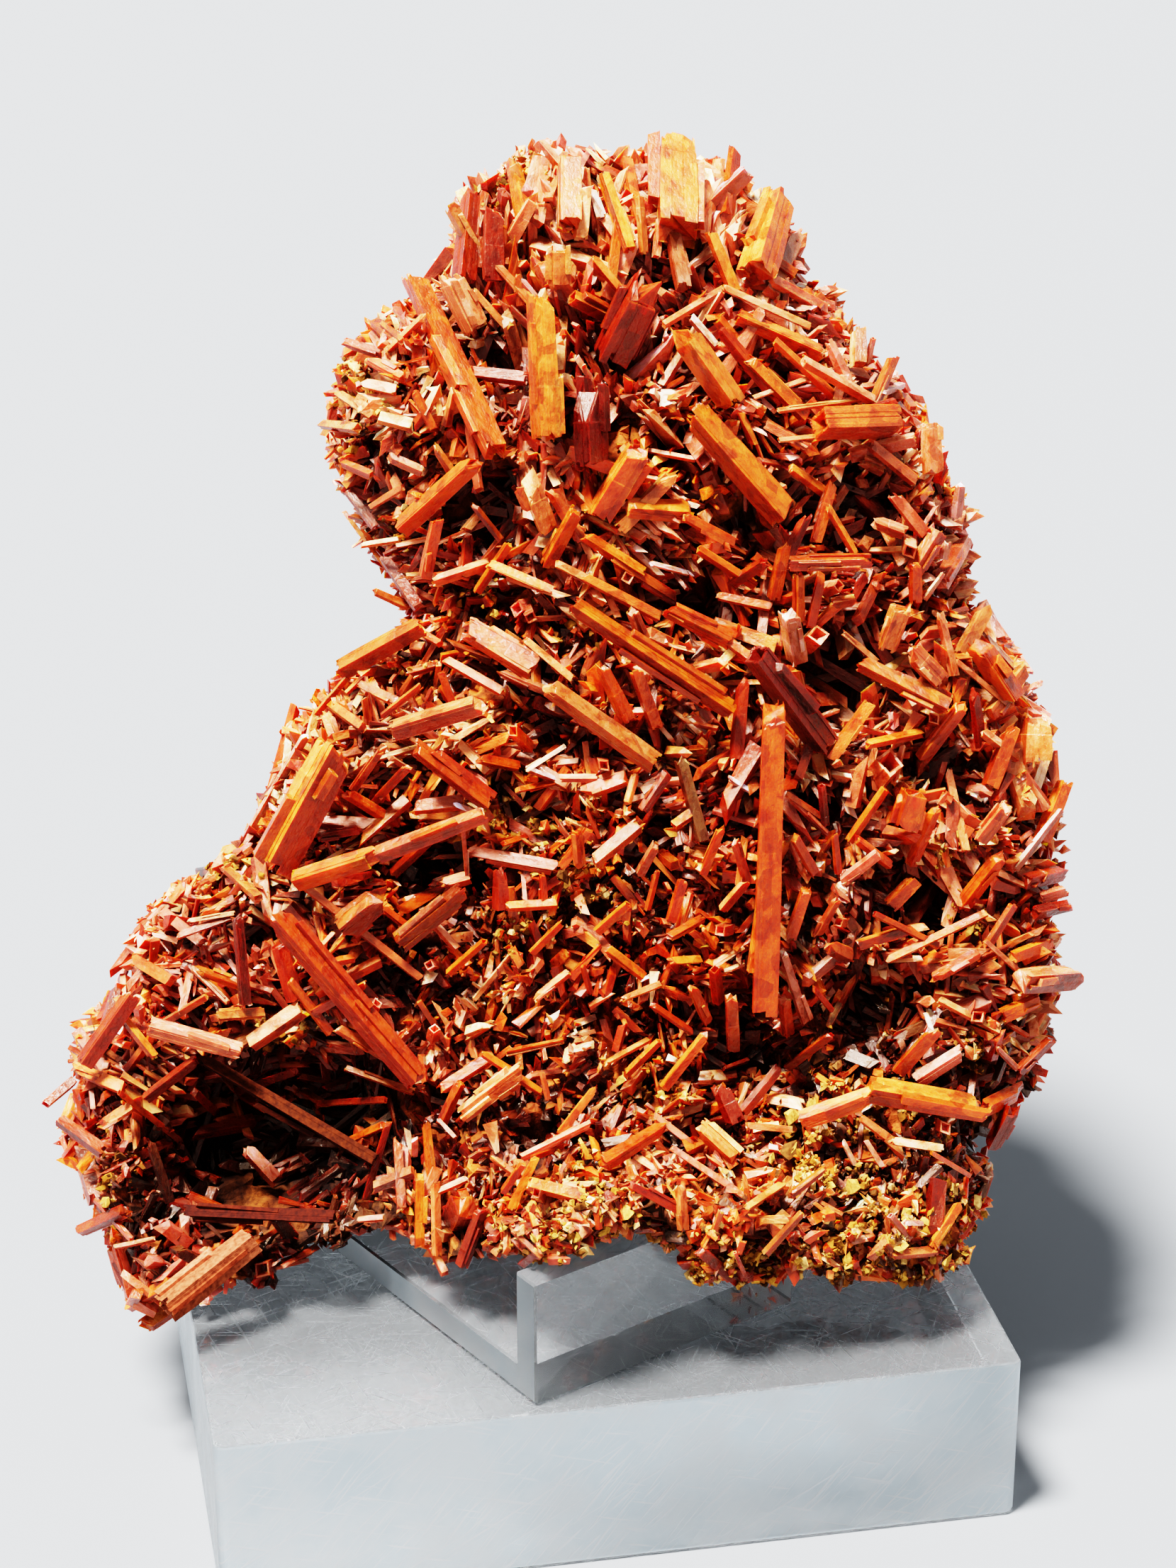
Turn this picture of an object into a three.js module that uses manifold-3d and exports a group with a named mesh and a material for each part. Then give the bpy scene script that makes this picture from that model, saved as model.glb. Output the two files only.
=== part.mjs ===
// Crocoite on matrix, standing in a clear cemented easel on a thick clear block.
// Millimetres, +Z up. The origin is the centre of the block's underside, +X runs along the
// block's length and +Y to its back.
//
// The specimen is built in a frame of its own, the face frame: u runs across the face to the
// right, v up the face from its foot, and w out of the face towards the front. The face frame
// leans back and is turned a little on the block.
import * as THREE from "three";
import { mergeVertices } from "three/addons/utils/BufferGeometryUtils.js";
import Module from "manifold-3d";

// ---------------------------------------------------------------- driving dimensions
const BLOCK = { length: 100, depth: 75, height: 22, corner: 1, edge: 0.4 };
const EASEL = {
  width: 40, // along the lip
  depth: 57.1, // seat, from its front to the foot of the back rest
  sheet: 4, // thickness of the three sheets, which are cemented at mitred corners
  lip: 16.3, // height of the front lip
  rest: 45.2, // length of the back rest along its slope
  edge: 0.25, // broken edge round the cut outline
  lean: THREE.MathUtils.degToRad(24), // back rest, from upright
  turn: THREE.MathUtils.degToRad(25.5), // about +Z, from the block's length
  corner: [-10.9, -35.9], // front left corner of the seat on the block
};
const FACE = {
  lean: THREE.MathUtils.degToRad(23.2), // back from upright
  turn: THREE.MathUtils.degToRad(-10.8), // about +Z, from the block's length
  foot: [-1.1, -18.3, 22.6], // where u, v and w are zero
  middle: [0, 67], // the relief draws in towards this point of the face
  drawIn: 1 / 446, // share of the distance to it that a millimetre of relief takes off
};
const PLATE = {
  front: 3, // height of the front before humps and hollows
  back: -33,
  rim: -14, // height of the outermost edge
  rimGap: 0.5, // least distance of the front and of the back from that edge
  centre: [2, 65], // where the rings of the surface start
  segments: 92,
  rings: 32,
  roundShare: 0.35, // how far the rings crowd towards the outline, 0 evenly spaced
  frontRound: 15, // radius that the front turns away with at the outline
  footRound: 7, // the same along the foot
  footBand: [10, 40], // the one passes into the other between these heights
  levelBelow: 70, // below this the rim is drawn towards a level underside
  backRound: 12,
  rough: 2.2, // height of the broken surface
  grain: 6.5, // spacing of the broken surface
};
const PRISM = { taper: 0.9, tip: 0.22, slant: 0.3 }; // free end of a crystal, as shares
const GAP = 0.35; // clearance between touching pieces

// Outline of the plate, clockwise from the top left shoulder, as u and v.
const OUTLINE = [
  [-16.5, 142], [-12, 144], [-7, 146.8], [-1, 147.8], [6, 147], [12, 147.3], [17, 146],
  [21, 143], [25.3, 139], [27.6, 134], [28.3, 131], [32, 127.3], [35.5, 123], [40, 120.3],
  [43, 115.5], [45, 109.5], [48, 104.5], [48.6, 99], [47.2, 92.5], [51, 88], [54.5, 82.5],
  [57, 76.5], [58.8, 70], [60.3, 62], [61.2, 53.5], [59.4, 49.3], [60.6, 43.5], [59, 36.5],
  [57.2, 30], [56, 24.5], [53.3, 20], [50.4, 16.8], [50.5, 11], [49.6, 5.2], [45, 2.2],
  [38, 2.2], [32, 0.8], [24, 0.8], [17.5, 0.5], [13, 3.6], [9, 6.9], [2, 7.2], [-3, 4.6],
  [-8, 5.3], [-13, 4.8], [-18, 2.4], [-22, 4], [-23.2, 8.4], [-28, 5.9], [-32, 7.8],
  [-36, 4], [-42, 0.8], [-47.5, 0.6], [-51, -2], [-56, -3.8], [-59.8, -0.6], [-61.8, 6],
  [-63.8, 12], [-66.4, 18], [-65, 23.2], [-67.8, 28.5], [-63.4, 34], [-58, 41], [-59, 45],
  [-55.6, 50], [-51, 54.5], [-45.5, 58], [-42, 63], [-39.6, 69], [-36, 77], [-31, 82],
  [-24.8, 85.2], [-22.4, 88.6], [-24.6, 92], [-28, 96.3], [-30.5, 102.5], [-32.8, 110],
  [-34.4, 115], [-31, 119], [-30.2, 123], [-25, 126.5], [-21.5, 131], [-17.8, 134],
];

// Humps and, with a negative height, hollows of the front: u, v, reach in u, reach in v, height.
const HUMPS = [
  [4, 62, 34, 30, 5], // the lower body swells in the middle
  [2, 112, 24, 20, 4], // the upper lobe
  [-30, 66, 12, 10, 3],
  [-5, 11, 15, 13, 21], // the foot swells forward and sits on the easel's lip
  [24, 10, 22, 12, 13], // its right part hangs over the lip
  [-19, 8, 4, 6, 5],
  [8, 140, 16, 10, -3], // the crown lies back
  [-41, 21, 13, 8.5, -20], // the cave at the lower left
  [-15, 12, 5, 6, -9],
  [-20, 57, 7, 5, -8],
  [-27, 63, 5, 5, -6],
  [-5, 65, 5, 4, -6],
  [31, 80, 5, 4.5, -9],
  [44, 53, 6, 5, -9],
  [46, 70, 5, 4, -7],
  [38, 40, 6, 3, -7],
  [23, 34, 4, 4, -6],
  [-11, 123, 5, 5, -6],
  [3, 124, 5, 4, -6],
  [-15, 100, 4, 4, -6],
  [33, 104, 5, 4.5, -7],
  [14, 92, 8, 4, -5],
  [-27, 98, 3.5, 4, -5],
  [-45, 46, 5, 4, -7],
  [53, 22, 5, 5, -8],
  [-13, 136, 3.5, 4, -4],
];
// The same for the back, where a positive height is a hollow.
const BACK_HUMPS = [
  [-8, 112, 16, 16, -5],
  [24, 96, 12, 10, 5],
  [8, 62, 20, 16, -5],
  [-28, 50, 12, 12, 5],
  [40, 50, 12, 18, 4],
  [-46, 22, 12, 14, 7],
  [10, 24, 18, 12, 4],
];

const COLOURS = {
  orange: 0xc04a0c,
  red: 0x7d1206,
  amber: 0xd0741c,
  pale: 0xd9905a,
  matrix: 0x7a4416,
  block: 0xd8e2e6,
  easel: 0xe4ecee,
};
const ROUGHNESS = { crystal: 0.25, matrix: 0.85, acrylic: 0.1 };

// The large crystals. Each node is a name, a colour and its prisms, grown together where there
// are two: free end u, v and lift above the plate, other end u, v and lift, width across, and
// the roll in degrees, where 0 turns a flat face to the front and 45 an edge.
const CRYSTALS = [
  ["crown_broad", "pale", [[11.2, 150, 4, 11.3, 137, 1, 6, 8]]],
  ["crown_right", "red", [[24.2, 141.8, 4, 21.4, 131.8, 1.5, 5, 40]]],
  ["crown_left_post", "orange", [[-14.4, 143, 2.5, -15.6, 130.8, -2, 3.6, 35]]],
  ["crown_chisel", "pale", [[-2.4, 146.9, 4, -2.4, 137.8, 0.5, 3.3, 10]]],
  ["crown_slender", "pale", [[1.9, 144.3, 3, 5.2, 134.6, 0.5, 2, 30]]],
  ["shoulder_long", "orange", [[-22.4, 132, 6, -11.8, 109.4, 2, 4.1, 30]]],
  ["shoulder_short", "pale", [[-18.2, 132.6, 8.5, -14.2, 124.8, 1, 3.6, 20]]],
  ["centre_post_back", "amber", [[-3.6, 135.8, 2, -3.6, 130.5, -1, 3, 15]]],
  ["centre_post", "orange", [[-6.1, 129.2, 6, -5.2, 111, 3, 4, 25]]],
  ["dark_leaf", "red", [[8.6, 132.2, 5, 3, 121.2, 1, 5.8, 25]]],
  ["dark_block", "red", [[0, 120.2, 5, 0.5, 107.5, 1, 5.2, 40]]],
  ["chisel_right", "pale", [[10.8, 125.6, 6, 18, 115.4, 3, 4.4, 40]]],
  ["upper_right_long", "orange", [[12.8, 114.6, 3.5, 24.4, 101.4, 3, 4.8, 32]]],
  ["upper_right_bar", "orange", [[28.4, 112.6, 4, 38.4, 112.9, 1, 4, 20]]],
  ["right_shoulder_post", "amber", [[43, 113, 4, 43.4, 106.6, 0, 2.6, 30]]],
  ["neck_left_bar", "red", [[-13.4, 108.6, 5, -23.3, 99.6, 1, 3, 42]]],
  ["pale_wedge", "amber", [[-8, 107.2, 4, -5.2, 99.7, 0.5, 3.2, 15]]],
  ["centre_fan", "amber", [[6.8, 109.8, 3.5, 1.6, 101.4, 0, 3.8, 20]]],
  ["right_ledge", "orange", [[36.2, 95.3, 5, 25.5, 95, 3, 2.1, 30]]],
  ["long_diagonal", "orange", [[-2.2, 90, 5, 17.9, 76.6, 2.5, 3.1, 40]]],
  ["dark_diagonal", "orange", [[9.6, 89.4, 3, 17.6, 85.4, 0, 2.6, 40]]],
  ["dark_thick", "red", [[20.6, 84.4, 8, 29.6, 72.4, 0, 4.9, 30]]],
  ["long_upright", "orange", [[23.4, 77.4, 8, 22.2, 38.8, 5, 3.8, 8]]],
  ["pale_stub", "pale", [[25.2, 89, 6, 26.3, 83, 2, 2.4, 12]]],
  ["left_band", "amber", [[-15.8, 87.2, 4, -7, 82, 1.5, 3.5, 25]]],
  ["left_shoulder", "orange", [[-20.6, 87.4, 2.5, -31, 81.6, 2, 2.9, 38]]],
  ["left_ridge", "orange", [[-12.4, 77.6, 4, -24.4, 74, 2, 2.9, 30]]],
  ["second_diagonal", "orange", [[-6.2, 80.4, 4.5, 8.2, 70, 2, 3.1, 35]]],
  ["big_left", "orange", [[-31.3, 72.4, 5, -39.4, 57.4, 4, 5.6, 35]]],
  ["left_crossing", "orange", [[-22.2, 72.3, 5, -12.8, 65, 2, 2.9, 30]]],
  ["right_block", "amber", [[39.8, 90.2, 4, 37.6, 84.4, 1, 2.8, 18]]],
  ["right_chip", "pale", [[40.2, 84.6, 4, 44.1, 80.4, 1, 2.5, 15]]],
  ["right_long", "amber", [[34, 82.6, 4, 45, 77, 2, 2.8, 35]]],
  ["rim_dark", "red", [[48.8, 85.2, 5, 53.4, 78.2, 2, 4, 35]]],
  ["rim_slab", "amber", [[56.2, 76.4, 5, 56, 70, 1, 4.2, 12]]],
  ["right_orange", "amber", [[41.4, 67.4, 5, 39.8, 62, 1, 3.4, 15]]],
  ["right_yellow", "amber", [[53, 64.8, 4, 49.4, 60.2, 1, 2.3, 20]]],
  ["right_spike", "orange", [[62.7, 43, 5, 54.5, 42.4, 1, 3.7, 25]]],
  [
    "left_roof",
    "orange",
    [
      [-13, 63.4, 6, -26.5, 58.3, 8, 2, 38],
      [-25.5, 58.6, 8.5, -36.6, 55.1, 3.5, 3, 40],
    ],
  ],
  ["left_slab", "orange", [[-24.7, 54.2, 5.5, -30.7, 49.3, 2, 3.9, 40]]],
  ["left_inner", "orange", [[-15.4, 54.2, 6, -23.7, 47.4, 1.5, 2.7, 38]]],
  ["left_long", "orange", [[-40, 51.6, 5.5, -21.6, 30.2, 3, 3.9, 38]]],
  ["left_drop", "red", [[-44.1, 50.8, 6, -43.1, 39.6, 2, 2, 30]]],
  ["left_edge", "red", [[-56.9, 41.3, 5, -63.3, 32.2, 4, 2.4, 30]]],
  ["left_pale_bar", "pale", [[-43.2, 33.5, 6, -54.9, 36.7, 4, 2.6, 40]]],
  ["cave_beam", "orange", [[-49.6, 33.4, 1.5, -26.8, 19.9, 3, 2.3, 25]]],
  ["cave_sill", "orange", [[-51, 13.6, 3, -32, 12.8, 5, 2.2, 20]]],
  ["foot_pink", "pale", [[-41.4, 10.6, 6, -52.8, 1.5, 7, 4.2, 30]]],
  ["lower_yellow", "amber", [[-8, 31.6, 3.5, -15.7, 25.7, 2, 2.4, 20]]],
  [
    "lower_right_long",
    "amber",
    [
      [50, 26.3, 4.5, 35.6, 28.8, 3, 3, 38],
      [37.4, 28.6, 3.4, 27, 25, 1, 2.2, 30],
    ],
  ],
];

// ---------------------------------------------------------------- closed meshes and booleans
const wasm = await Module();
wasm.setup();

// A closed geometry as a manifold-3d solid.
function solid(geometry) {
  const bare = new THREE.BufferGeometry()
    .setAttribute("position", geometry.getAttribute("position"))
    .setIndex(geometry.index);
  const merged = mergeVertices(bare, 1e-4);
  return new wasm.Manifold(
    new wasm.Mesh({
      numProp: 3,
      vertProperties: new Float32Array(merged.attributes.position.array),
      triVerts: new Uint32Array(merged.index.array),
    }),
  );
}

// A manifold-3d solid as a geometry.
function geometryOf(made) {
  const mesh = made.getMesh();
  const flat = new Float32Array(mesh.numVert * 3);
  for (let i = 0; i < mesh.numVert; i++) {
    const at = i * mesh.numProp;
    flat.set(mesh.vertProperties.subarray(at, at + 3), i * 3);
  }
  const geometry = new THREE.BufferGeometry()
    .setAttribute("position", new THREE.BufferAttribute(flat, 3))
    .setIndex(new THREE.BufferAttribute(new Uint32Array(mesh.triVerts), 1));
  geometry.computeVertexNormals();
  return geometry;
}

// The largest body of a solid.
function largest(made) {
  return made.decompose().reduce((a, b) => (b.volume() > a.volume() ? b : a));
}

function named(name, geometry, colour, roughness) {
  const material = new THREE.MeshStandardMaterial({ color: colour, roughness, metalness: 0 });
  const mesh = new THREE.Mesh(geometry, material);
  mesh.name = name;
  return mesh;
}

// ---------------------------------------------------------------- the stand
// A slab with rounded upright corners and broken edges, its underside on z = 0.
function blockGeometry(grow = 0) {
  const { length, depth, height, corner, edge } = BLOCK;
  const x = length / 2 - edge + grow;
  const y = depth / 2 - edge + grow;
  const shape = new THREE.Shape()
    .moveTo(-x + corner, -y)
    .lineTo(x - corner, -y)
    .absarc(x - corner, -y + corner, corner, -Math.PI / 2, 0)
    .absarc(x - corner, y - corner, corner, 0, Math.PI / 2)
    .absarc(-x + corner, y - corner, corner, Math.PI / 2, Math.PI)
    .absarc(-x + corner, -y + corner, corner, Math.PI, Math.PI * 1.5);
  const geometry = new THREE.ExtrudeGeometry(shape, {
    depth: height - 2 * edge + grow,
    bevelThickness: edge,
    bevelSize: edge,
    bevelSegments: 2,
    curveSegments: 3,
  });
  return geometry.translate(0, 0, edge);
}

// Side view of the easel: the lip, the seat and the leaning back rest, grown by a margin.
function easelShape(grow) {
  const middle = EASEL.sheet / 2;
  const half = middle - EASEL.edge + grow;
  const up = Math.PI / 2;
  const slope = up - EASEL.lean;
  const top = [
    EASEL.depth + EASEL.rest * Math.cos(slope),
    middle + EASEL.rest * Math.sin(slope),
  ];
  const corners = [
    { at: [middle, EASEL.lip], before: -up, after: -up },
    { at: [middle, middle], before: -up, after: 0 },
    { at: [EASEL.depth, middle], before: 0, after: slope },
    { at: top, before: slope, after: slope },
  ];
  const side = (sign) =>
    corners.map(({ at, before, after }) => {
      const facing = (before + after) / 2 + up;
      const reach = (sign * half) / Math.cos((after - before) / 2);
      return new THREE.Vector2(
        at[0] + reach * Math.cos(facing),
        at[1] + reach * Math.sin(facing),
      );
    });
  return new THREE.Shape([...side(-1), ...side(1).reverse()]);
}

// The easel, its front left corner at the origin, x along the lip, y to the back rest.
function easelGeometry(grow = 0) {
  const shape = easelShape(grow);
  const geometry = new THREE.ExtrudeGeometry(shape, {
    depth: EASEL.width - 2 * EASEL.edge + 2 * grow,
    bevelThickness: EASEL.edge,
    bevelSize: EASEL.edge,
    bevelSegments: 1,
  });
  // the side view lies in x and y and is pulled along z: turn it to y and z, pulled along x
  geometry.translate(0, 0, EASEL.edge - grow);
  return geometry.applyMatrix4(
    new THREE.Matrix4().set(0, 0, 1, 0, 1, 0, 0, 0, 0, 1, 0, 0, 0, 0, 0, 1),
  );
}

// ---------------------------------------------------------------- the plate of matrix
// A point of the face frame: relief draws in a little towards the middle of the face.
function onFace(u, v, w) {
  const share = 1 - w * FACE.drawIn;
  const [mu, mv] = FACE.middle;
  return new THREE.Vector3(mu + (u - mu) * share, mv + (v - mv) * share, w);
}

const outlineCurve = new THREE.CatmullRomCurve3(
  OUTLINE.map(([u, v]) => new THREE.Vector3(u, v, 0)),
  true,
  "centripetal",
);
// anticlockwise, as the sphere's longitude runs
const outlinePoints = outlineCurve.getSpacedPoints(PLATE.segments).slice(1).reverse();

// Distance from the outline, inside it; zero on and outside it.
function inset(u, v) {
  const point = new THREE.Vector3(u, v, 0);
  const near = new THREE.Vector3();
  const edge = new THREE.Line3();
  let least = Infinity;
  let inside = false;
  outlinePoints.forEach((a, i) => {
    const b = outlinePoints[(i + 1) % outlinePoints.length];
    edge.set(a, b).closestPointToPoint(point, true, near);
    least = Math.min(least, near.distanceTo(point));
    if (a.y > v !== b.y > v && u < a.x + ((v - a.y) / (b.y - a.y)) * (b.x - a.x)) {
      inside = !inside;
    }
  });
  return inside ? least : 0;
}

function humps(list, u, v) {
  return list.reduce(
    (sum, [hu, hv, ru, rv, height]) =>
      sum + height * Math.exp(-(((u - hu) / ru) ** 2) - ((v - hv) / rv) ** 2),
    0,
  );
}

// How far a face has turned away at this distance from the outline.
function turnedAway(distance, radius) {
  const left = 1 - Math.min(distance / radius, 1);
  return radius * (1 - Math.sqrt(1 - left * left));
}

function frontHeight(u, v) {
  const { front, footRound, frontRound, footBand } = PLATE;
  const above = THREE.MathUtils.smoothstep(v, ...footBand);
  const round = THREE.MathUtils.lerp(footRound, frontRound, above);
  return front + humps(HUMPS, u, v) - turnedAway(inset(u, v), round);
}

function backHeight(u, v) {
  return PLATE.back + humps(BACK_HUMPS, u, v) + turnedAway(inset(u, v), PLATE.backRound);
}

// Value noise between -1 and 1, from a hash of the cells' corners.
function hash(x, y, z) {
  let n = (x * 374761393 + y * 668265263 + z * 1274126177) | 0;
  n = Math.imul(n ^ (n >>> 13), 1103515245);
  return ((n ^ (n >>> 16)) >>> 0) / 2147483647.5 - 1;
}

function noise(point, spacing) {
  const p = point.clone().divideScalar(spacing);
  const cell = p.clone().floor();
  const f = p.sub(cell);
  let sum = 0;
  for (let i = 0; i < 8; i++) {
    const [dx, dy, dz] = [i & 1, (i >> 1) & 1, i >> 2];
    const weight =
      (dx ? f.x : 1 - f.x) * (dy ? f.y : 1 - f.y) * (dz ? f.z : 1 - f.z);
    sum += weight * hash(cell.x + dx, cell.y + dy, cell.z + dz);
  }
  return sum;
}

// The plate is a sphere pressed flat: its front pole is the middle of the face, its equator
// follows the outline, and its back half is the rear face.
function plateGeometry() {
  const { segments, rings, roundShare, centre, rim, rimGap, levelBelow, rough, grain } = PLATE;
  const geometry = new THREE.SphereGeometry(1, segments, rings);
  const position = geometry.getAttribute("position");
  for (let ring = 0; ring <= rings; ring++) {
    const latitude = (Math.PI * ring) / rings;
    const fromPole = 1 - Math.abs(1 - (2 * ring) / rings);
    const share = THREE.MathUtils.lerp(fromPole, Math.sin(latitude), roundShare);
    for (let step = 0; step <= segments; step++) {
      const edge = outlinePoints[step % segments];
      const u = centre[0] + (edge.x - centre[0]) * share;
      let v = centre[1] + (edge.y - centre[1]) * share;
      let w = rim;
      if (2 * ring < rings) w = Math.max(frontHeight(u, v), rim + rimGap);
      if (2 * ring > rings) w = Math.min(backHeight(u, v), rim - rimGap);
      // the underside is level although the face leans: it rises towards the back
      const level = THREE.MathUtils.smoothstep(levelBelow - v, 0, levelBelow);
      v += Math.max(-w, 0) * Math.tan(FACE.lean) * level;
      const point = onFace(u, v, w);
      const out = new THREE.Vector3(edge.x - centre[0], edge.y - centre[1], 0)
        .normalize()
        .multiplyScalar(Math.sin(latitude))
        .setZ(Math.cos(latitude));
      point.addScaledVector(out, rough * noise(point, grain));
      position.setXYZ(ring * (segments + 1) + step, point.x, point.y, point.z);
    }
  }
  return geometry;
}

// ---------------------------------------------------------------- the large crystals
// A four-sided prism along +y with a slanting tip, the free end upwards.
function prismGeometry(length, width, roll, grow = 0) {
  const side = width / (Math.cos(roll) + Math.sin(roll));
  const radius = side / Math.SQRT2 + grow * Math.SQRT2;
  const height = length + 2 * grow;
  const geometry = new THREE.CylinderGeometry(radius * PRISM.taper, radius, height, 4, 1);
  const position = geometry.getAttribute("position");
  for (let i = 0; i < position.count; i++) {
    if (position.getY(i) > 0) {
      const drop = width * PRISM.tip - position.getX(i) * PRISM.slant;
      position.setY(i, position.getY(i) - drop);
    }
  }
  return geometry.rotateY(roll - Math.PI / 4);
}

// Middle and turn of a prism between its two ends, with its first flat face to the front.
function prismPlace([u1, v1, lift1, u0, v0, lift0]) {
  const free = onFace(u1, v1, frontHeight(u1, v1) + lift1);
  const root = onFace(u0, v0, frontHeight(u0, v0) + lift0);
  const along = free.clone().sub(root);
  const length = along.length();
  along.normalize();
  const across = along.clone().cross(new THREE.Vector3(0, 0, 1)).normalize();
  const out = across.clone().cross(along);
  const matrix = new THREE.Matrix4().makeBasis(across, along, out);
  matrix.setPosition(free.clone().add(root).multiplyScalar(0.5));
  return { matrix, length };
}

function prismSolid(prism, grow = 0) {
  const { matrix, length } = prismPlace(prism);
  const roll = THREE.MathUtils.degToRad(prism[7]);
  return solid(prismGeometry(length, prism[6], roll, grow).applyMatrix4(matrix));
}

function crystalMesh([name, colour, prisms]) {
  const look = [COLOURS[colour], ROUGHNESS.crystal];
  if (prisms.length > 1) {
    const joined = prisms.map((prism) => prismSolid(prism)).reduce((a, b) => a.add(b));
    return named("crystal_" + name, geometryOf(joined), ...look);
  }
  const { matrix, length } = prismPlace(prisms[0]);
  const roll = THREE.MathUtils.degToRad(prisms[0][7]);
  const geometry = prismGeometry(length, prisms[0][6], roll);
  const mesh = named("crystal_" + name, geometry, ...look);
  mesh.applyMatrix4(matrix);
  return mesh;
}

// ---------------------------------------------------------------- the assembly
const object = new THREE.Group();

const stand = new THREE.Group();
stand.add(named("stand_block", blockGeometry(), COLOURS.block, ROUGHNESS.acrylic));
const easel = named("stand_easel", easelGeometry(), COLOURS.easel, ROUGHNESS.acrylic);
easel.position.set(...EASEL.corner, BLOCK.height + GAP);
easel.rotation.z = EASEL.turn;
stand.add(easel);
object.add(stand);

const turned = new THREE.Group();
turned.position.set(...FACE.foot);
turned.rotation.z = FACE.turn;
const face = new THREE.Group();
face.rotation.x = Math.PI / 2 - FACE.lean;
turned.add(face);
object.add(turned);
object.updateMatrixWorld(true);

// The stand in the face frame, grown by the gap, is cut from the plate, and so is each crystal.
const toFace = face.matrixWorld.clone().invert();
const cuts = [
  solid(blockGeometry(GAP).applyMatrix4(toFace)),
  solid(easelGeometry(GAP).applyMatrix4(easel.matrixWorld).applyMatrix4(toFace)),
];
CRYSTALS.forEach(([, , prisms]) => cuts.push(...prisms.map((prism) => prismSolid(prism, GAP))));
const plate = cuts.reduce((left, cut) => left.subtract(cut), solid(plateGeometry()));
face.add(named("matrix", geometryOf(largest(plate)), COLOURS.matrix, ROUGHNESS.matrix));
CRYSTALS.forEach((crystal) => face.add(crystalMesh(crystal)));

export default object;
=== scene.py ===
"""Looks of the crocoite specimen on its clear stand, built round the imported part.

Lengths in the constants are millimetres; meshes are made in metres, in the part's frame. The
specimen has a frame of its own, the face frame: u runs right across its face, v up the face and
w out of it to the front.
"""

from math import cos, pi, radians, sin, sqrt, tau

import bpy
import numpy as np
from mathutils import Matrix, Vector, noise
from mathutils.bvhtree import BVHTree


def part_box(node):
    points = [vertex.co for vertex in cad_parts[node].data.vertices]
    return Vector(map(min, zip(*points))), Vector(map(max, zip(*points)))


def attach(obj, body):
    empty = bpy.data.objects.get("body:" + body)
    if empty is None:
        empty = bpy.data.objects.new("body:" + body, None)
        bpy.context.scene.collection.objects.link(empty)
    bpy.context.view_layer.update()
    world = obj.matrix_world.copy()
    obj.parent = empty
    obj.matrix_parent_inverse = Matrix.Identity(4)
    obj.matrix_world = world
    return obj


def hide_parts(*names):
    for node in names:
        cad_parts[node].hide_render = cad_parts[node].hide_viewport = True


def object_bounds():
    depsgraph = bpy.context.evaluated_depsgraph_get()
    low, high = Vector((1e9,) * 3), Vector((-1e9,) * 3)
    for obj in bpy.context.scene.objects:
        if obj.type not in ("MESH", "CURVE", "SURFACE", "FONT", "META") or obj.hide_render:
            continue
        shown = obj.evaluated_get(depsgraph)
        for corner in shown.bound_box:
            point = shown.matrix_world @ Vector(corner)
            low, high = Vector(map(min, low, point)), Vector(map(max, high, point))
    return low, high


MM = 0.001
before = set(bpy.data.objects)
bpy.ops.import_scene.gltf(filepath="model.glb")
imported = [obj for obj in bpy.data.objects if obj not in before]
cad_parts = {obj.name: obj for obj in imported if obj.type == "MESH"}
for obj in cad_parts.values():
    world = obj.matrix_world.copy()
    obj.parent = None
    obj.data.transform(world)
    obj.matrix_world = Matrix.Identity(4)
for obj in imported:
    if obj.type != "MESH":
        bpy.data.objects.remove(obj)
cad_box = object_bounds()
SEED = 7
rng = np.random.default_rng(SEED)
noise.seed_set(SEED)

# ---------------- frames and camera
FACE_FOOT = (-1.1, -18.3, 0.6)  # from the middle of the block's top
FACE_LEAN, FACE_TURN = radians(23.2), radians(-10.8)
EYE = (0.0, 67.26, 446.03)  # camera in the face frame, looking along -w
LENS, SENSOR = 81.4, 36.0

block_low, block_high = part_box("stand_block")
block_top = Vector(((block_low.x + block_high.x) / 2, (block_low.y + block_high.y) / 2, block_high.z))
FACE = (
    Matrix.Translation(block_top + Vector(FACE_FOOT) * MM)
    @ Matrix.Rotation(FACE_TURN, 4, "Z")
    @ Matrix.Rotation(pi / 2 - FACE_LEAN, 4, "X")
    @ Matrix.Scale(MM, 4)
)
TO_FACE = FACE.inverted()
FACE_NP = np.array(FACE)
TO_FACE_NP = np.array(TO_FACE)
OUT = (FACE.to_3x3() @ Vector((0, 0, 1))).normalized()  # out of the face


def to_part(points):
    """Face frame points in mm, as rows, in the part's frame in metres."""
    return points @ FACE_NP[:3, :3].T + FACE_NP[:3, 3]


def to_face(points):
    """Points of the part's frame, as rows, in the face frame in mm."""
    return points @ TO_FACE_NP[:3, :3].T + TO_FACE_NP[:3, 3]


matrix_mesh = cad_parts["matrix"].data
matrix_tree = BVHTree.FromPolygons(
    [v.co for v in matrix_mesh.vertices], [p.vertices for p in matrix_mesh.polygons]
)
EYE_PART = FACE @ Vector(EYE)
HIDDEN_W = -6.0  # where the plate is taken to be, past its outline


def seen(u, v):
    """The point of the plate that shows at u, v of the face, in the face frame, or None."""
    aim = FACE @ Vector((u, v, 0))
    hit = matrix_tree.ray_cast(EYE_PART, (aim - EYE_PART).normalized())[0]
    return None if hit is None else TO_FACE @ hit


def standing(u, v, lift):
    """A point that shows at u, v and lies lift above the plate there."""
    near = seen(u, v)
    w = (near.z if near else HIDDEN_W) + lift
    share = 1 - w / EYE[2]
    return np.array([EYE[0] + (u - EYE[0]) * share, EYE[1] + (v - EYE[1]) * share, w])


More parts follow.
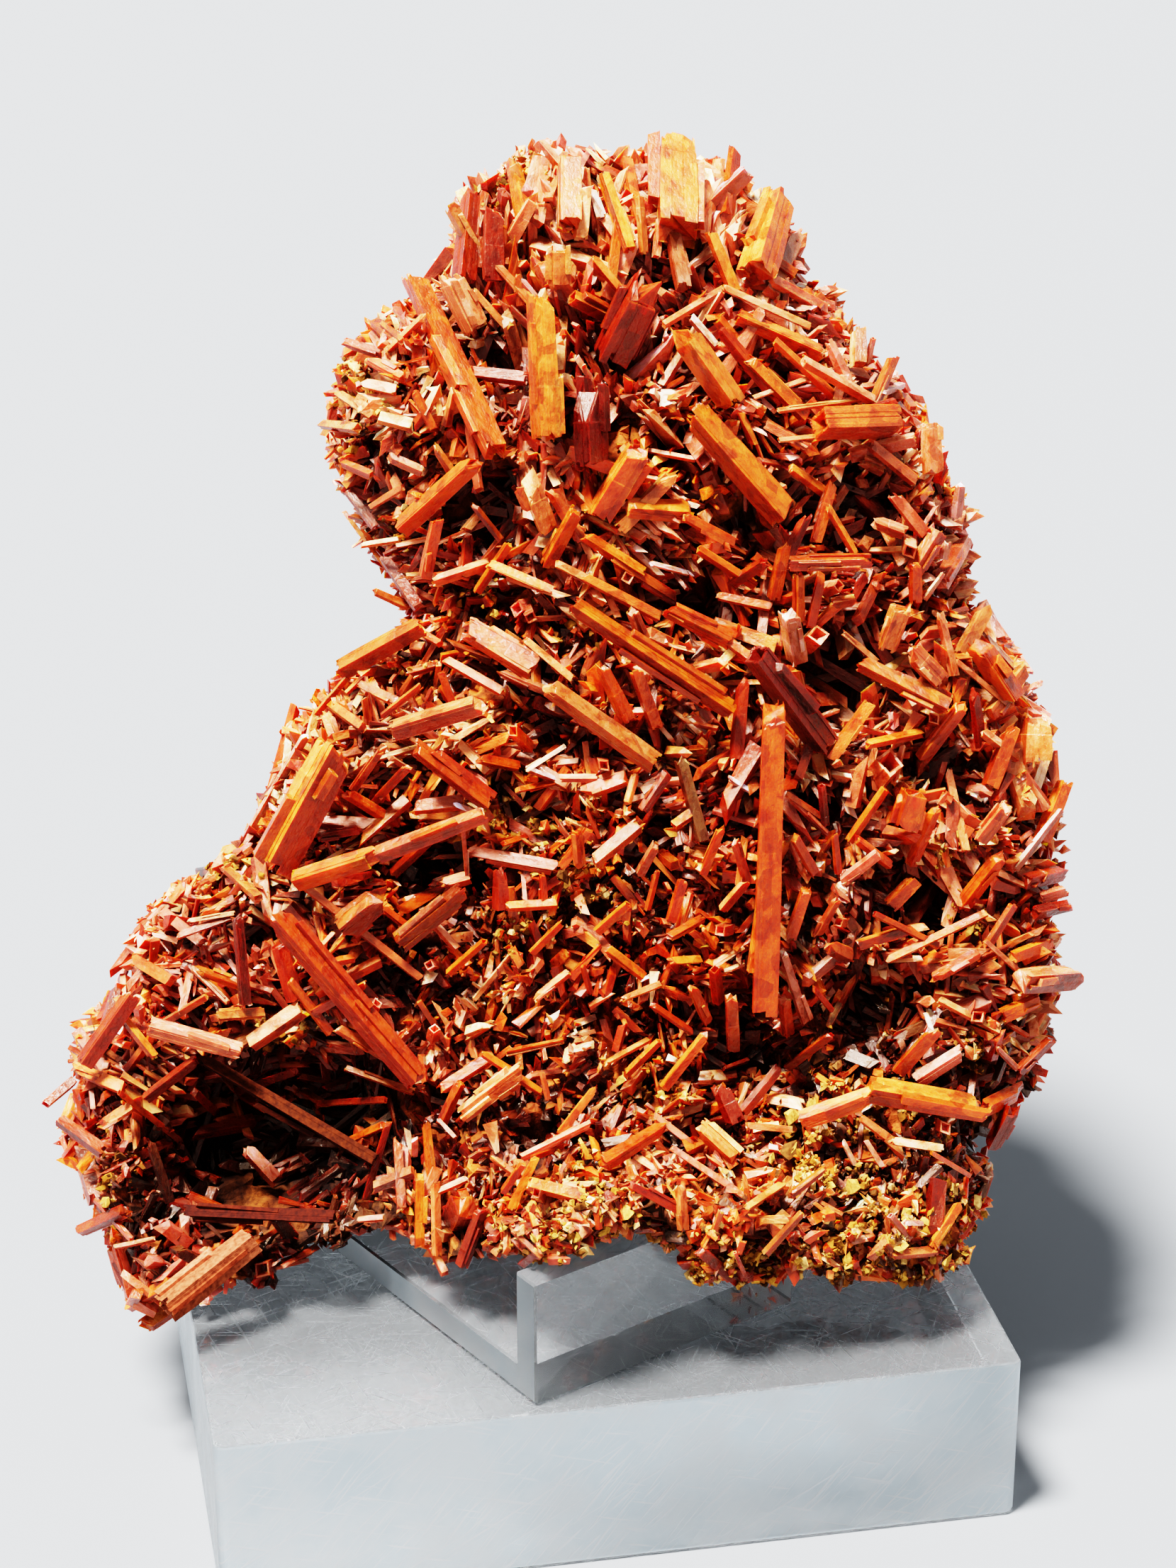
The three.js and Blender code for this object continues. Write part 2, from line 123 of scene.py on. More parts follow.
def proud(points):
    """How far each point of the face frame lies outside the matrix solid, in mm."""
    out = []
    for p in to_part(points):
        near, normal, _, _ = matrix_tree.find_nearest(p)
        gap = Vector(p) - near
        out.append(gap.length / MM * (1 if gap.dot(normal) > 0 else -1))
    return np.array(out)


def bedded(root, free, depth=0.8):
    """A crystal's ends, moved if need be so that its root is that deep in the matrix."""
    at = Vector(to_part(root[None])[0])
    near, normal, _, _ = matrix_tree.find_nearest(at)
    inside = near - normal * depth * MM
    if (at - inside).dot(normal) <= 0:
        return root, free
    shift = to_face(np.array([inside]))[0] - root
    return root + shift, free + shift


def unit(rows):
    """The rows as vectors of length 1."""
    return rows / np.maximum(np.linalg.norm(rows, axis=1, keepdims=True), 1e-9)


def smooth(low, high, x):
    """0 at low, 1 at high, and a soft step between them."""
    t = np.clip((x - low) / (high - low), 0, 1)
    return t * t * (3 - 2 * t)


# Cavities between the crystals: u, v, reach in u and v, and how dark they are, by a sunken rock and by
# painted shade.
CAVITIES = [
    (-50, 18, 10, 8, 1), (-35, 19, 10, 7, 1), (-44, 29, 10, 4, 0.9), (-30, 29, 8, 5, 1),
    (-38, 9, 10, 5, 1), (-54, 7, 5, 4, 0.6), (-15, 12, 3.5, 4.5, 1), (-23, 41, 3, 3, 0.7),
    (-46, 48, 6, 3.5, 0.8), (-22, 57, 4, 3.5, 1), (-33, 62, 3, 4, 0.8), (-5, 73, 3.5, 3.5, 1),
    (-13, 100, 2.5, 4, 1), (-11, 122, 3, 5, 0.9), (3, 124, 4, 5, 0.7), (5, 113, 3.5, 4, 0.7),
    (-30, 103, 3, 5, 0.7), (-24, 95, 3, 3, 0.6), (13, 90, 7, 3, 1), (25, 101, 7, 4, 0.8),
    (36, 104, 3, 3.5, 0.9), (32, 82, 3.5, 6, 1), (38, 92, 3, 3, 0.7), (21, 76, 4, 3, 0.8),
    (30, 65, 3, 7, 0.8), (45, 70, 4, 3, 0.9), (38, 53, 5, 4.5, 0.9), (32, 45, 3.5, 3.5, 0.7),
    (20, 33, 7, 3, 1), (46, 30, 4, 4.5, 0.8), (36, 39, 4, 3, 0.8), (9, 13, 4, 2.5, 0.8),
    (3, 6, 8, 3, 0.9), (24, 14, 4, 3, 0.6), (57, 52, 3, 5, 0.6), (12, 131, 3, 4, 0.7),
    (24, 134, 2.5, 4, 0.7), (-13, 137, 2.5, 5, 0.8), (-20, 27, 4, 3, 0.7), (-8, 45, 3, 2, 0.6),
    (8, 58, 3, 3, 0.5), (50, 20, 3, 4, 0.7), (-52, 38, 4, 3, 0.5), (-3, 90, 4, 2.5, 0.6),
    (48, 84, 2.5, 4, 0.6), (14, 66, 3, 3, 0.6), (-26, 72, 4, 2.5, 0.6), (38, 118, 3, 2.5, 0.5),
]


def shade_of(points):
    """How far each point is into a cavity, 0 to 1."""
    gloom = np.zeros(len(points))
    for u, v, ru, rv, dark in CAVITIES:
        gap = ((points[:, 0] - u) / ru) ** 2 + ((points[:, 1] - v) / rv) ** 2
        gloom = np.maximum(gloom, dark * np.exp(-(gap**1.5)))
    return gloom


STAIN_AND_SHADE = np.array([0.16, 0.05, 0.03])  # what iron stain and painted shade leave of a crystal's red, green and blue
STAIN_AND_SHADE_DEPTHS = (-4.5, -1.0)  # depths in the matrix solid where a crystal is all darkened by iron stain and painted shade, and not at all


def stain_and_shade(points):
    """What share of its colour a crystal shows: iron stain and painted shade where it is rooted deep,
    painted shade in cavities.
    """
    depth = proud(points)
    unstained_unshaded = smooth(*STAIN_AND_SHADE_DEPTHS, depth) * (1 - 0.95 * shade_of(points) * smooth(3.2, 0.8, depth))
    return STAIN_AND_SHADE + (1 - STAIN_AND_SHADE) * unstained_unshaded[:, None]


def field(points, size):
    """Smooth noise of about -1 to 1 that changes over size mm."""
    return np.array([noise.noise(Vector(p) / size) for p in points])


def swirl(points, size):
    """A direction that changes smoothly over size mm."""
    return unit(np.array([noise.noise_vector(Vector(p) / size) for p in points]))


# ---------------- meshes
def added(name, data):
    """A new object in the scene."""
    obj = bpy.data.objects.new(name, data)
    bpy.context.scene.collection.objects.link(obj)
    return obj


def piece(name, mesh, material, replaces=()):
    """An object that rides on the part's body, in place of the named nodes."""
    obj = added(name, mesh)
    mesh.materials.append(material)
    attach(obj, "root")
    if replaces:
        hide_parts(*replaces)
    return obj


def triples(items, name, kind=float):
    """What three numbers each item of a mesh has by that name."""
    values = np.zeros(len(items) * 3, kind)
    items.foreach_get(name, values)
    return values.reshape(-1, 3)


def paint(mesh, tints):
    """Gives every point of a mesh its tint."""
    values = np.ones((len(tints), 4), np.float32)
    values[:, :3] = tints
    mesh.attributes.new("tint", "FLOAT_COLOR", "POINT").data.foreach_set("color", values.ravel())


class Heap:
    """Gathers closed shapes that become one mesh, with a tint and a growth coordinate each."""

    def __init__(self):
        self.points, self.faces, self.tints, self.grains = [], [], [], []
        self.count = 0

    def add(self, points, faces, tint, grain):
        """points in the face frame; grain is each point's place along and across its crystal."""
        self.points.append(points)
        self.faces.extend([tuple(i + self.count for i in face) for face in faces])
        self.tints.append(tint)
        self.grains.append(grain)
        self.count += len(points)

    def add_many(self, points, faces, tints, grains):
        """One shape many times over: a row of points, of tints and of grains for each."""
        count, corners = points.shape[:2]
        first = self.count + corners * np.arange(count)[:, None, None]
        self.faces.extend((np.array(faces)[None] + first).reshape(-1, len(faces[0])).tolist())
        self.points.append(points.reshape(-1, 3))
        self.tints.append(tints.reshape(-1, 3))
        self.grains.append(grains.reshape(-1, 3))
        self.count += count * corners

    def make(self, name, slot, material, replaces=()):
        """Makes one piece of it all, with iron stain and painted shade where it is rooted deep, and
        painted shade in the cavities.
        """
        points = np.concatenate(self.points)
        mesh = bpy.data.meshes.new(name)
        mesh.from_pydata(to_part(points).tolist(), [], self.faces)
        mesh.update()
        paint(mesh, np.clip(np.concatenate(self.tints) * stain_and_shade(points), 0, 1))
        grains = np.concatenate(self.grains).astype(np.float32)
        mesh.attributes.new("grain", "FLOAT_VECTOR", "POINT").data.foreach_set("vector", grains.ravel())
        piece(name, mesh, material, replaces)


# What light comes back from each kind of crystal.
TINTS = {
    "o": (0.62, 0.082, 0.007),  # orange
    "e": (0.36, 0.042, 0.002),  # ember
    "r": (0.30, 0.018, 0.001),  # deep red
    "d": (0.08, 0.003, 0.001),  # dark red
    "a": (0.60, 0.125, 0.024),  # amber
    "p": (0.73, 0.205, 0.056),  # pale
    "k": (0.65, 0.132, 0.044),  # pink
    "w": (0.80, 0.420, 0.240),  # nearly white, painted glints
    "n": (0.30, 0.075, 0.035),  # dull
    "b": (0.075, 0.016, 0.003),  # brown; in the cave it is also painted shade
}


def across(axis, roll):
    """Two directions square to an axis, the first turned by roll from the face's plane."""
    side = np.cross(axis, (0, 0, 1.0))
    if np.linalg.norm(side) < 1e-3:
        side = np.array([1.0, 0, 0])
    side /= np.linalg.norm(side)
    up = np.cross(axis, side)
    return side * cos(roll) + up * sin(roll), up * cos(roll) - side * sin(roll)


GRAIN_REACH = 60  # how far apart the growth coordinates of two crystals may lie


def profile(strips):
    """A skewed square of side 1 whose sides are lengthwise strips: points, strips and sides."""
    points, strip, sides = [], [], []
    skew = rng.uniform(-0.16, 0.16)
    for side in range(4):
        cuts = np.sort(rng.uniform(-0.4, 0.4, strips - 1))
        ends = [-0.5, *cuts, 0.5]
        angle = side * pi / 2
        for i in range(strips):
            depth = 0.5 - (rng.uniform(0.0, 0.04) if strips > 1 else 0)
            for x in (ends[i] * 0.95, ends[i + 1] * 0.95):
                right, up = x * cos(angle) + depth * sin(angle), x * sin(angle) - depth * cos(angle)
                points.append((right + skew * up, up + skew * right))
                strip.append(side * strips + i)
                sides.append(side)
    return np.array(points), np.array(strip), np.array(sides)


def tip(shape, ragged, kind):
    """How far each profile point reaches past the crystal's nominal end, in widths."""
    if kind == "hollow":
        return shape @ rng.uniform(-0.15, 0.15, 2) + ragged * 0.2
    end = ragged + shape @ rng.uniform(-0.5, 0.5, 2)
    if kind == "chisel":
        end = end - np.abs(shape[:, 0] - rng.uniform(-0.25, 0.25)) * rng.uniform(0.6, 1.6)
    if kind == "blade":
        end = end - np.abs(shape[:, 1] - rng.uniform(-0.4, 0.4)) * rng.uniform(0.8, 2.0)
    return end


def sections(strips, kind, foot, end):
    """A crystal's cross-sections from root to end: how far along it each is, its scale, and how
    far each profile point reaches past that, in widths."""
    taper = rng.uniform(0.02, 0.14)
    rings = [(0.0, 0.94, foot)]
    if strips > 1:
        ledge = rng.uniform(0.3, 0.9)
        for t, step in ((0.2, 0), (ledge - 0.01, 0), (ledge + 0.01, 0.035)):
            rings.append((t, 1 - taper * t - step + rng.uniform(-0.008, 0.008), 0.0))
        rings.sort(key=lambda ring: ring[0])
    narrow = rings[-1][1] - taper * (1 - rings[-1][0])
    rings.append((1.0, narrow, end - 0.04))
    if kind == "hollow":
        rings += [(1.0, narrow * 0.97, end), (1.0, narrow * 0.74, end - 0.02)]
        rings += [(1.0, narrow * 0.55, end - 0.45), (1.0, narrow * 0.22, end - 0.8)]
    else:
        rings += [(1.0, narrow * 0.9, end + 0.03)]
    return rings


def tube(rings, count):
    """Faces of a closed tube of rings of so many points."""
    faces = []
    for ring in range(rings - 1):
        a, b = ring * count, (ring + 1) * count
        for i in range(count):
            j = (i + 1) % count
            faces.append((a + i, a + j, b + j, b + i))
    faces.append(tuple(range(count))[::-1])
    faces.append(tuple(range((rings - 1) * count, rings * count)))
    return faces


def crystal(heap, root, free, width, roll, tint, strips=3, flat=1.0, kind=None):
    """A striated prism from root to free, with a slanting, chisel, bladed or hollow end."""
    kind = kind or rng.choice(["slant", "chisel", "blade"], p=[0.4, 0.4, 0.2])
    axis = free - root
    length = np.linalg.norm(axis)
    axis = axis / length
    e1, e2 = across(axis, roll)
    shape, strip, side = profile(strips)
    shape = shape * (1, flat)
    ragged = rng.uniform(-0.3, 0.1, 4 * strips)
    end = tip(shape, ragged[strip], kind)
    foot = rng.uniform(-0.2, 0.2, 4 * strips)[strip]
    rings = sections(strips, kind, foot, end)
    count = len(shape)
    points, grains, tints = [], [], []
    offset = rng.uniform(0, GRAIN_REACH, 3)
    faint = rng.uniform(0.5, 1.2, 4)[side] * rng.uniform(0.92, 1.08, 4 * strips)[strip]
    faint = faint[:, None] ** (0.8, 1.6, 2.0)  # its darker sides are redder
    shift = rng.uniform(0.1, 0.45)  # how much paler and yellower it grows towards its end: partly its own colour, partly a painted highlight
    for t, scale, push in rings:
        along = np.broadcast_to(t * length + push * width, count)
        x, y = (shape * scale * width).T
        points.append(root + np.outer(along, axis) + np.outer(x, e1) + np.outer(y, e2))
        grains.append(np.column_stack([x, along, y]) + offset)
        # darker at the root and paler at the end: partly its own colour, partly painted shade and
        # highlight
        tints.append(faint * tint * (0.75 + shift * t * np.array([0.6, 0.9, 1.4])))
    faces = tube(len(rings), count)
    heap.add(np.concatenate(points), faces, np.concatenate(tints), np.concatenate(grains))


def cluster(heap, root, free, width, roll, tint, strips, flat=1.0, kind=None, more=2):
    """A crystal with thinner ones grown along it."""
    crystal(heap, root, free, width, roll, tint, strips, flat, kind)
    along = free - root
    length = np.linalg.norm(along)
    e1, e2 = across(along / length, roll)
    for _ in range(more):
        start, stop = sorted(rng.uniform(-0.05, 1.0, 2))
        if stop - start < 0.25:
            continue
        thin = width * rng.uniform(0.22, 0.5)
        turn = rng.uniform(0, tau)
        reach = (width * 0.5 + thin * 0.1) * (e1 * cos(turn) + e2 * sin(turn) * flat)
        lean = rng.normal(0, 0.025, (2, 3)) * length
        shade = tint * rng.uniform(0.75, 1.3)
        foot = root + along * start + reach + lean[0] * 0.3
        head = root + along * stop + reach + lean[1] * 0.5
        crystal(heap, foot, head, thin, roll + rng.normal(0, 0.2), shade, 1, 1.0, "slant")


def varied(tint, amount=0.16):
    """A tint a little lighter, darker, redder or yellower."""
    value = np.array(TINTS[tint]) * rng.uniform(1 - amount, 1 + amount)
    return np.clip(value * (1, rng.uniform(1 - amount, 1 + amount), 1), 0, 1)


# ---------------- materials
def node(tree, kind, links=(), **values):
    """A node with its inputs set by name, or linked from (input, socket) pairs."""
    made = tree.nodes.new("ShaderNode" + kind)
    for key, value in values.items():
        if hasattr(made, key):
            setattr(made, key, value)
        else:
            made.inputs[key.replace("_", " ")].default_value = value
    for key, socket in links:
        tree.links.new(socket, made.inputs[key])
    return made


def material(name, **values):
    """A new material, its node tree, and its shader with the given values."""
    made = bpy.data.materials.new(name)
    made.use_nodes = True
    tree = made.node_tree
    tree.nodes.clear()
    shader = node(tree, "BsdfPrincipled", **values)
    out = tree.nodes.new("ShaderNodeOutputMaterial")
    tree.links.new(shader.outputs[0], out.inputs["Surface"])
    return made, tree, shader


def plug(tree, shader, **sockets):
    """Links the shader's named inputs to sockets."""
    for key, socket in sockets.items():
        tree.links.new(socket, shader.inputs[key.replace("_", " ")])


def clouds(tree, vector, scale, detail, rough):
    """Cloudy noise at a place, from about 0.3 to 0.7."""
    made = node(tree, "TexNoise", [("Vector", vector)], Scale=scale, Detail=detail, Roughness=rough)
    return made.outputs["Fac"]


def attribute(tree, name, output):
    """What the mesh says of itself at each point."""
    return node(tree, "Attribute", attribute_name=name).outputs[output]


def place_on(tree):
    """The place on the piece, in metres."""
    return node(tree, "TexCoord").outputs["Object"]


def facing(tree):
    """The normal."""
    return node(tree, "NewGeometry").outputs["Normal"]


def ramp(tree, factor, stops):
    """A colour that follows a factor through stops of a place and a colour."""
    made = node(tree, "ValToRGB", [("Fac", factor)])
    elements = made.color_ramp.elements
    elements[0].position, elements[0].color = stops[0][0], (*stops[0][1], 1)
    elements[1].position, elements[1].color = stops[-1][0], (*stops[-1][1], 1)
    for place, colour in stops[1:-1]:
        elements.new(place).color = (*colour, 1)
    return made.outputs["Color"]


def between(tree, value, low, high, least=0, most=1):
    """least where a value is low, most where it is high, and even steps between."""
    limits = {"From_Min": low, "From_Max": high, "To_Min": least, "To_Max": most}
    return node(tree, "MapRange", [("Value", value)], **limits).outputs[0]


def mix(tree, factor, a, b, blend="MIX"):
    """Two colours mixed; each of them and the factor is a value or a socket."""
    made = node(tree, "Mix", data_type="RGBA", blend_type=blend)
    for socket, value in ((made.inputs[0], factor), (made.inputs[6], a), (made.inputs[7], b)):
        if isinstance(value, bpy.types.NodeSocket):
            tree.links.new(value, socket)
        elif isinstance(value, tuple):
            socket.default_value = (*value, 1)
        else:
            socket.default_value = value
    return made.outputs[2]


def scaled(tree, vector, scale):
    """A place multiplied by a scale along each axis."""
    return node(tree, "Mapping", [("Vector", vector)], Scale=scale).outputs["Vector"]


def bump(tree, height, strength, distance, links=()):
    """The normal bent by a height."""
    links = [("Height", height), *links]
    return node(tree, "Bump", links, Strength=strength, Distance=distance).outputs[0]


def crocoite(name):
    """Glossy orange that glows a little, blotched and faintly lined, with painted shade on its
    undersides.
    """
    made, tree, shader = material(
        name,
        IOR=1.5,
        Specular_IOR_Level=0.5,
        Specular_Tint=(1.0, 0.6, 0.35, 1),
        Coat_Weight=0.5,
        Coat_Roughness=0.06,
        Subsurface_Weight=0.5,
        Subsurface_Radius=(1.0, 0.16, 0.03),
        Subsurface_Scale=0.0018,
    )
    grain = attribute(tree, "grain", "Vector")
    lines = clouds(tree, scaled(tree, grain, (4.5, 0.12, 4.5)), 1.0, 3.0, 0.6)
    cloud = clouds(tree, scaled(tree, grain, (0.7, 0.4, 0.7)), 1.0, 5.0, 0.65)
    stain = clouds(tree, scaled(tree, grain, (1.6, 1.0, 1.6)), 1.0, 5.0, 0.65)
    stops = [(0.34, (0.6, 0.3, 0.2)), (0.47, (1, 1, 1)), (0.57, (1.1, 1.3, 1.7)), (0.68, (1.2, 1.7, 2.4))]
    colour = mix(tree, 1.0, attribute(tree, "tint", "Color"), ramp(tree, cloud, stops), "MULTIPLY")
    cells = node(tree, "TexVoronoi", [("Vector", scaled(tree, grain, (0.7, 0.45, 0.7)))], Scale=1.0)
    patch = node(tree, "SeparateXYZ", [("Vector", cells.outputs["Color"])]).outputs["X"]
    flaw = ramp(tree, patch, [(0.1, (0.5, 0.32, 0.3)), (0.4, (1, 1, 1)), (0.9, (1.12, 1.35, 1.7))])
    colour = mix(tree, 0.8, colour, flaw, "MULTIPLY")
    streak = ramp(tree, lines, [(0.36, (0.75, 0.6, 0.5)), (0.52, (1, 1, 1))])
    colour = mix(tree, 0.12, colour, streak, "MULTIPLY")
    height = node(tree, "SeparateXYZ", [("Vector", facing(tree))]).outputs["Z"]
    # painted shade and highlight by how far a face turns up: redder and darker below, paler when turned
    # up
    stops = [(0, (0.8, 0.4, 0.3)), (0.4, (1, 0.85, 0.8)), (0.7, (1, 1.2, 1.4)), (1, (0.85, 0.75, 0.65))]
    colour = mix(tree, 1.0, colour, ramp(tree, height, stops), "MULTIPLY")
    wavy = bump(tree, stain, 0.6, 0.0004)
    grooved = bump(tree, lines, 0.25, 0.0001, [("Normal", wavy)])
    rough = between(tree, stain, 0.35, 0.7, 0.2, 0.55)
    plug(tree, shader, Base_Color=colour, Roughness=rough, Normal=grooved, Coat_Normal=wavy)
    return made


def gossan(name):
    """Dark brown porous ironstone, with ochre and near-black patches."""
    made, tree, shader = material(name, Roughness=0.85, Specular_IOR_Level=0.15)
    broad = clouds(tree, place_on(tree), 90.0, 5.0, 0.6)
    fine = clouds(tree, place_on(tree), 900.0, 5.0, 0.65)
    stops = [(0.35, (0.010, 0.004, 0.002)), (0.48, (0.05, 0.016, 0.006))]
    stops += [(0.6, (0.13, 0.05, 0.014)), (0.72, (0.20, 0.09, 0.025))]
    grit = ramp(tree, fine, [(0.35, (0.35, 0.3, 0.28)), (0.65, (1.3, 1.3, 1.3))])
    colour = mix(tree, 1.0, ramp(tree, broad, stops), grit, "MULTIPLY")
    # the tint holds painted shade in cavities and gaps
    colour = mix(tree, 1.0, colour, attribute(tree, "tint", "Color"), "MULTIPLY")
    plug(tree, shader, Base_Color=colour, Normal=bump(tree, fine, 0.8, 0.0005))
    return made


def ochre(name):
    """Dull limonite in the mesh's own tint, which also coats the darkest crystals."""
    made, tree, shader = material(name, Roughness=0.8, Specular_IOR_Level=0.1)
    fine = clouds(tree, place_on(tree), 1500.0, 4.0, 0.6)
    shade = ramp(tree, fine, [(0.35, (0.5, 0.42, 0.35)), (0.65, (1.25, 1.2, 1.1))])
    colour = mix(tree, 1.0, attribute(tree, "tint", "Color"), shade, "MULTIPLY")
    plug(tree, shader, Base_Color=colour, Normal=bump(tree, fine, 0.6, 0.0002))
    return made


SCRATCHES = ((0.3, 130), (0.9, 90), (1.6, 150), (2.3, 100), (2.9, 120))  # turn, how many a metre
SCRATCH_TILT = (0.75, 0.6)  # so that they show on all sides of a block
SCRATCH_FINENESS = 2600  # how many a metre across them


def acrylic(name, way, frosted, clear, wear):
    """Clear acrylic, scratched by the given amount. Its faces pass from frosted to clear as their
    normal's share along way, taken without its sign, goes from one given value to the other."""
    made, tree, shader = material(name, Transmission_Weight=0.96, IOR=1.49)
    scratch = (0, 0, 0)
    for turn, long in SCRATCHES:
        turned = node(
            tree,
            "Mapping",
            [("Vector", place_on(tree))],
            vector_type="TEXTURE",
            Rotation=(*SCRATCH_TILT, turn),
            Scale=(1 / long, 1 / SCRATCH_FINENESS, 1),
        )
        hair = clouds(tree, turned.outputs["Vector"], 1.0, 1.0, 0.5)
        lines = ramp(tree, hair, [(0.64, (0, 0, 0)), (0.72, (wear, wear, wear))])
        scratch = mix(tree, 1.0, lines, scratch, "LIGHTEN")
    share = node(tree, "VectorMath", [(0, facing(tree))], operation="DOT_PRODUCT")
    share.inputs[1].default_value = way
    size = node(tree, "Math", [(0, share.outputs["Value"])], operation="ABSOLUTE")
    frost = between(tree, size.outputs[0], clear, frosted)
    haze = clouds(tree, place_on(tree), 140.0, 3.0, 0.5)
    dim = mix(tree, scratch, (0.02, 0.02, 0.02), (0.35, 0.35, 0.35))
    dull = ramp(tree, haze, [(0.35, (0.34, 0.34, 0.34)), (0.65, (0.55, 0.55, 0.55))])
    milk = ramp(tree, haze, [(0.38, (0.72, 0.83, 0.88)), (0.62, (0.93, 0.97, 0.98))])
    milk = mix(tree, scratch, milk, (1.0, 1.0, 1.0))
    colour = mix(tree, frost, (0.98, 0.995, 1.0), milk)
    worn = bump(tree, scratch, 0.2, 0.0001)
    plug(tree, shader, Base_Color=colour, Roughness=mix(tree, frost, dim, dull), Normal=worn)
    return made


CROCOITE = crocoite("crocoite")
GOSSAN = gossan("gossan")
OCHRE = ochre("limonite")
EASEL_TURN = radians(25.5)  # of the easel's lip from the block's length
BLOCK_ACRYLIC = acrylic("acrylic_block", (0, 0, 1), 0.4, 0.7, 1.0)
EASEL_ACRYLIC = acrylic("acrylic_sheet", (cos(EASEL_TURN), sin(EASEL_TURN), 0), 0.95, 0.8, 0.12)

# ---------------- the large crystals
# Tint of each large crystal, and what its free end is like: s slanting, h hollow. Those of the
# tints in COATED are coated with limonite; the brown of those in the cave is partly painted shade.
LARGE = {
    "crown_broad": "os", "crown_right": "os", "crown_left_post": "rs", "crown_chisel": "os",
    "crown_slender": "os", "shoulder_long": "os", "shoulder_short": "ps", "centre_post_back": "as",
    "centre_post": "os", "dark_leaf": "rs", "dark_block": "ds", "chisel_right": "os",
    "upper_right_long": "es", "upper_right_bar": "oh", "right_shoulder_post": "ks",
    "neck_left_bar": "os", "pale_wedge": "ps", "centre_fan": "os", "right_ledge": "os",
    "long_diagonal": "es", "dark_diagonal": "os", "dark_thick": "dh", "long_upright": "os",
    "pale_stub": "ws", "left_band": "os", "left_shoulder": "os", "left_ridge": "as",
    "second_diagonal": "as", "big_left": "os", "left_crossing": "rs", "right_block": "ps",
    "right_chip": "ps", "right_long": "es", "rim_dark": "os", "rim_slab": "as",
    "right_orange": "os", "right_yellow": "ps", "right_spike": "ks", "left_slab": "es",
    "left_inner": "es", "left_long": "rs", "left_drop": "ds", "left_edge": "rs",
    "left_pale_bar": "ps", "cave_beam": "bs", "cave_sill": "bs", "foot_pink": "nh",
    "lower_yellow": "ps",
}
COATED = "bn"
# Crystals of two prisms each: u, v and lift of the free end and of the root, width and roll.
JOINED = {
    "left_roof": [[-13, 63.4, 6, -26.5, 58.3, 8, 2, 38], [-25.5, 58.6, 8.5, -36.6, 55.1, 3.5, 3, 40]],
    "lower_right_long": [[50, 26.3, 4.5, 35.6, 28.8, 3, 3, 38], [37.4, 28.6, 3.4, 27, 25, 1, 2.2, 30]],
}
SIDE = 0.8  # side of a crystal's section for its width across


def read_prism(name):
    """Root, free end and side of a plain prism node, and one corner of its root from the middle
    of that, in the face frame."""
    co = triples(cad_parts[name].data.vertices, "co")
    points = np.unique(np.round(to_face(co), 3), axis=0)
    middle = points.mean(0)
    axis = np.linalg.svd(points - middle)[2][0]
    along = (points - middle) @ axis
    ends = [points[along > 0], points[along <= 0]]
    spread = [np.ptp(end @ axis) for end in ends]
    free, root = ends if spread[0] > spread[1] else ends[::-1]
    corner = root[0] - root.mean(0)
    return root.mean(0), free.mean(0), np.linalg.norm(corner) * sqrt(2), corner


def large_crystals():
    """Each large crystal in place of its node, in two meshes: the bright ones and the coated."""
    bright, coated = Heap(), Heap()
    for name, (tint, end) in LARGE.items():
        heap = coated if tint in COATED else bright
        root, free, side, corner = read_prism("crystal_" + name)
        e1, e2 = across((free - root) / np.linalg.norm(free - root), 0)
        roll = np.arctan2(corner @ e2, corner @ e1) - pi / 4
        kind = "hollow" if end == "h" else None
        cluster(heap, root, free, side, roll, varied(tint), 5, 1.0, kind, 4)
    for prisms in JOINED.values():
        for u1, v1, lift1, u0, v0, lift0, width, roll in prisms:
            free, root = standing(u1, v1, lift1), standing(u0, v0, lift0)
            cluster(bright, root, free, width * SIDE, radians(roll), varied("o"), 5)
    dull = ["crystal_" + name for name, look in LARGE.items() if look[0] in COATED]
    rest = ["crystal_" + name for name in [*LARGE, *JOINED] if "crystal_" + name not in dull]
    bright.make("large_crystals", "crocoite_orange", CROCOITE, rest)
    coated.make("stained_and_shaded_crystals", "crocoite_orange", OCHRE, dull)


large_crystals()

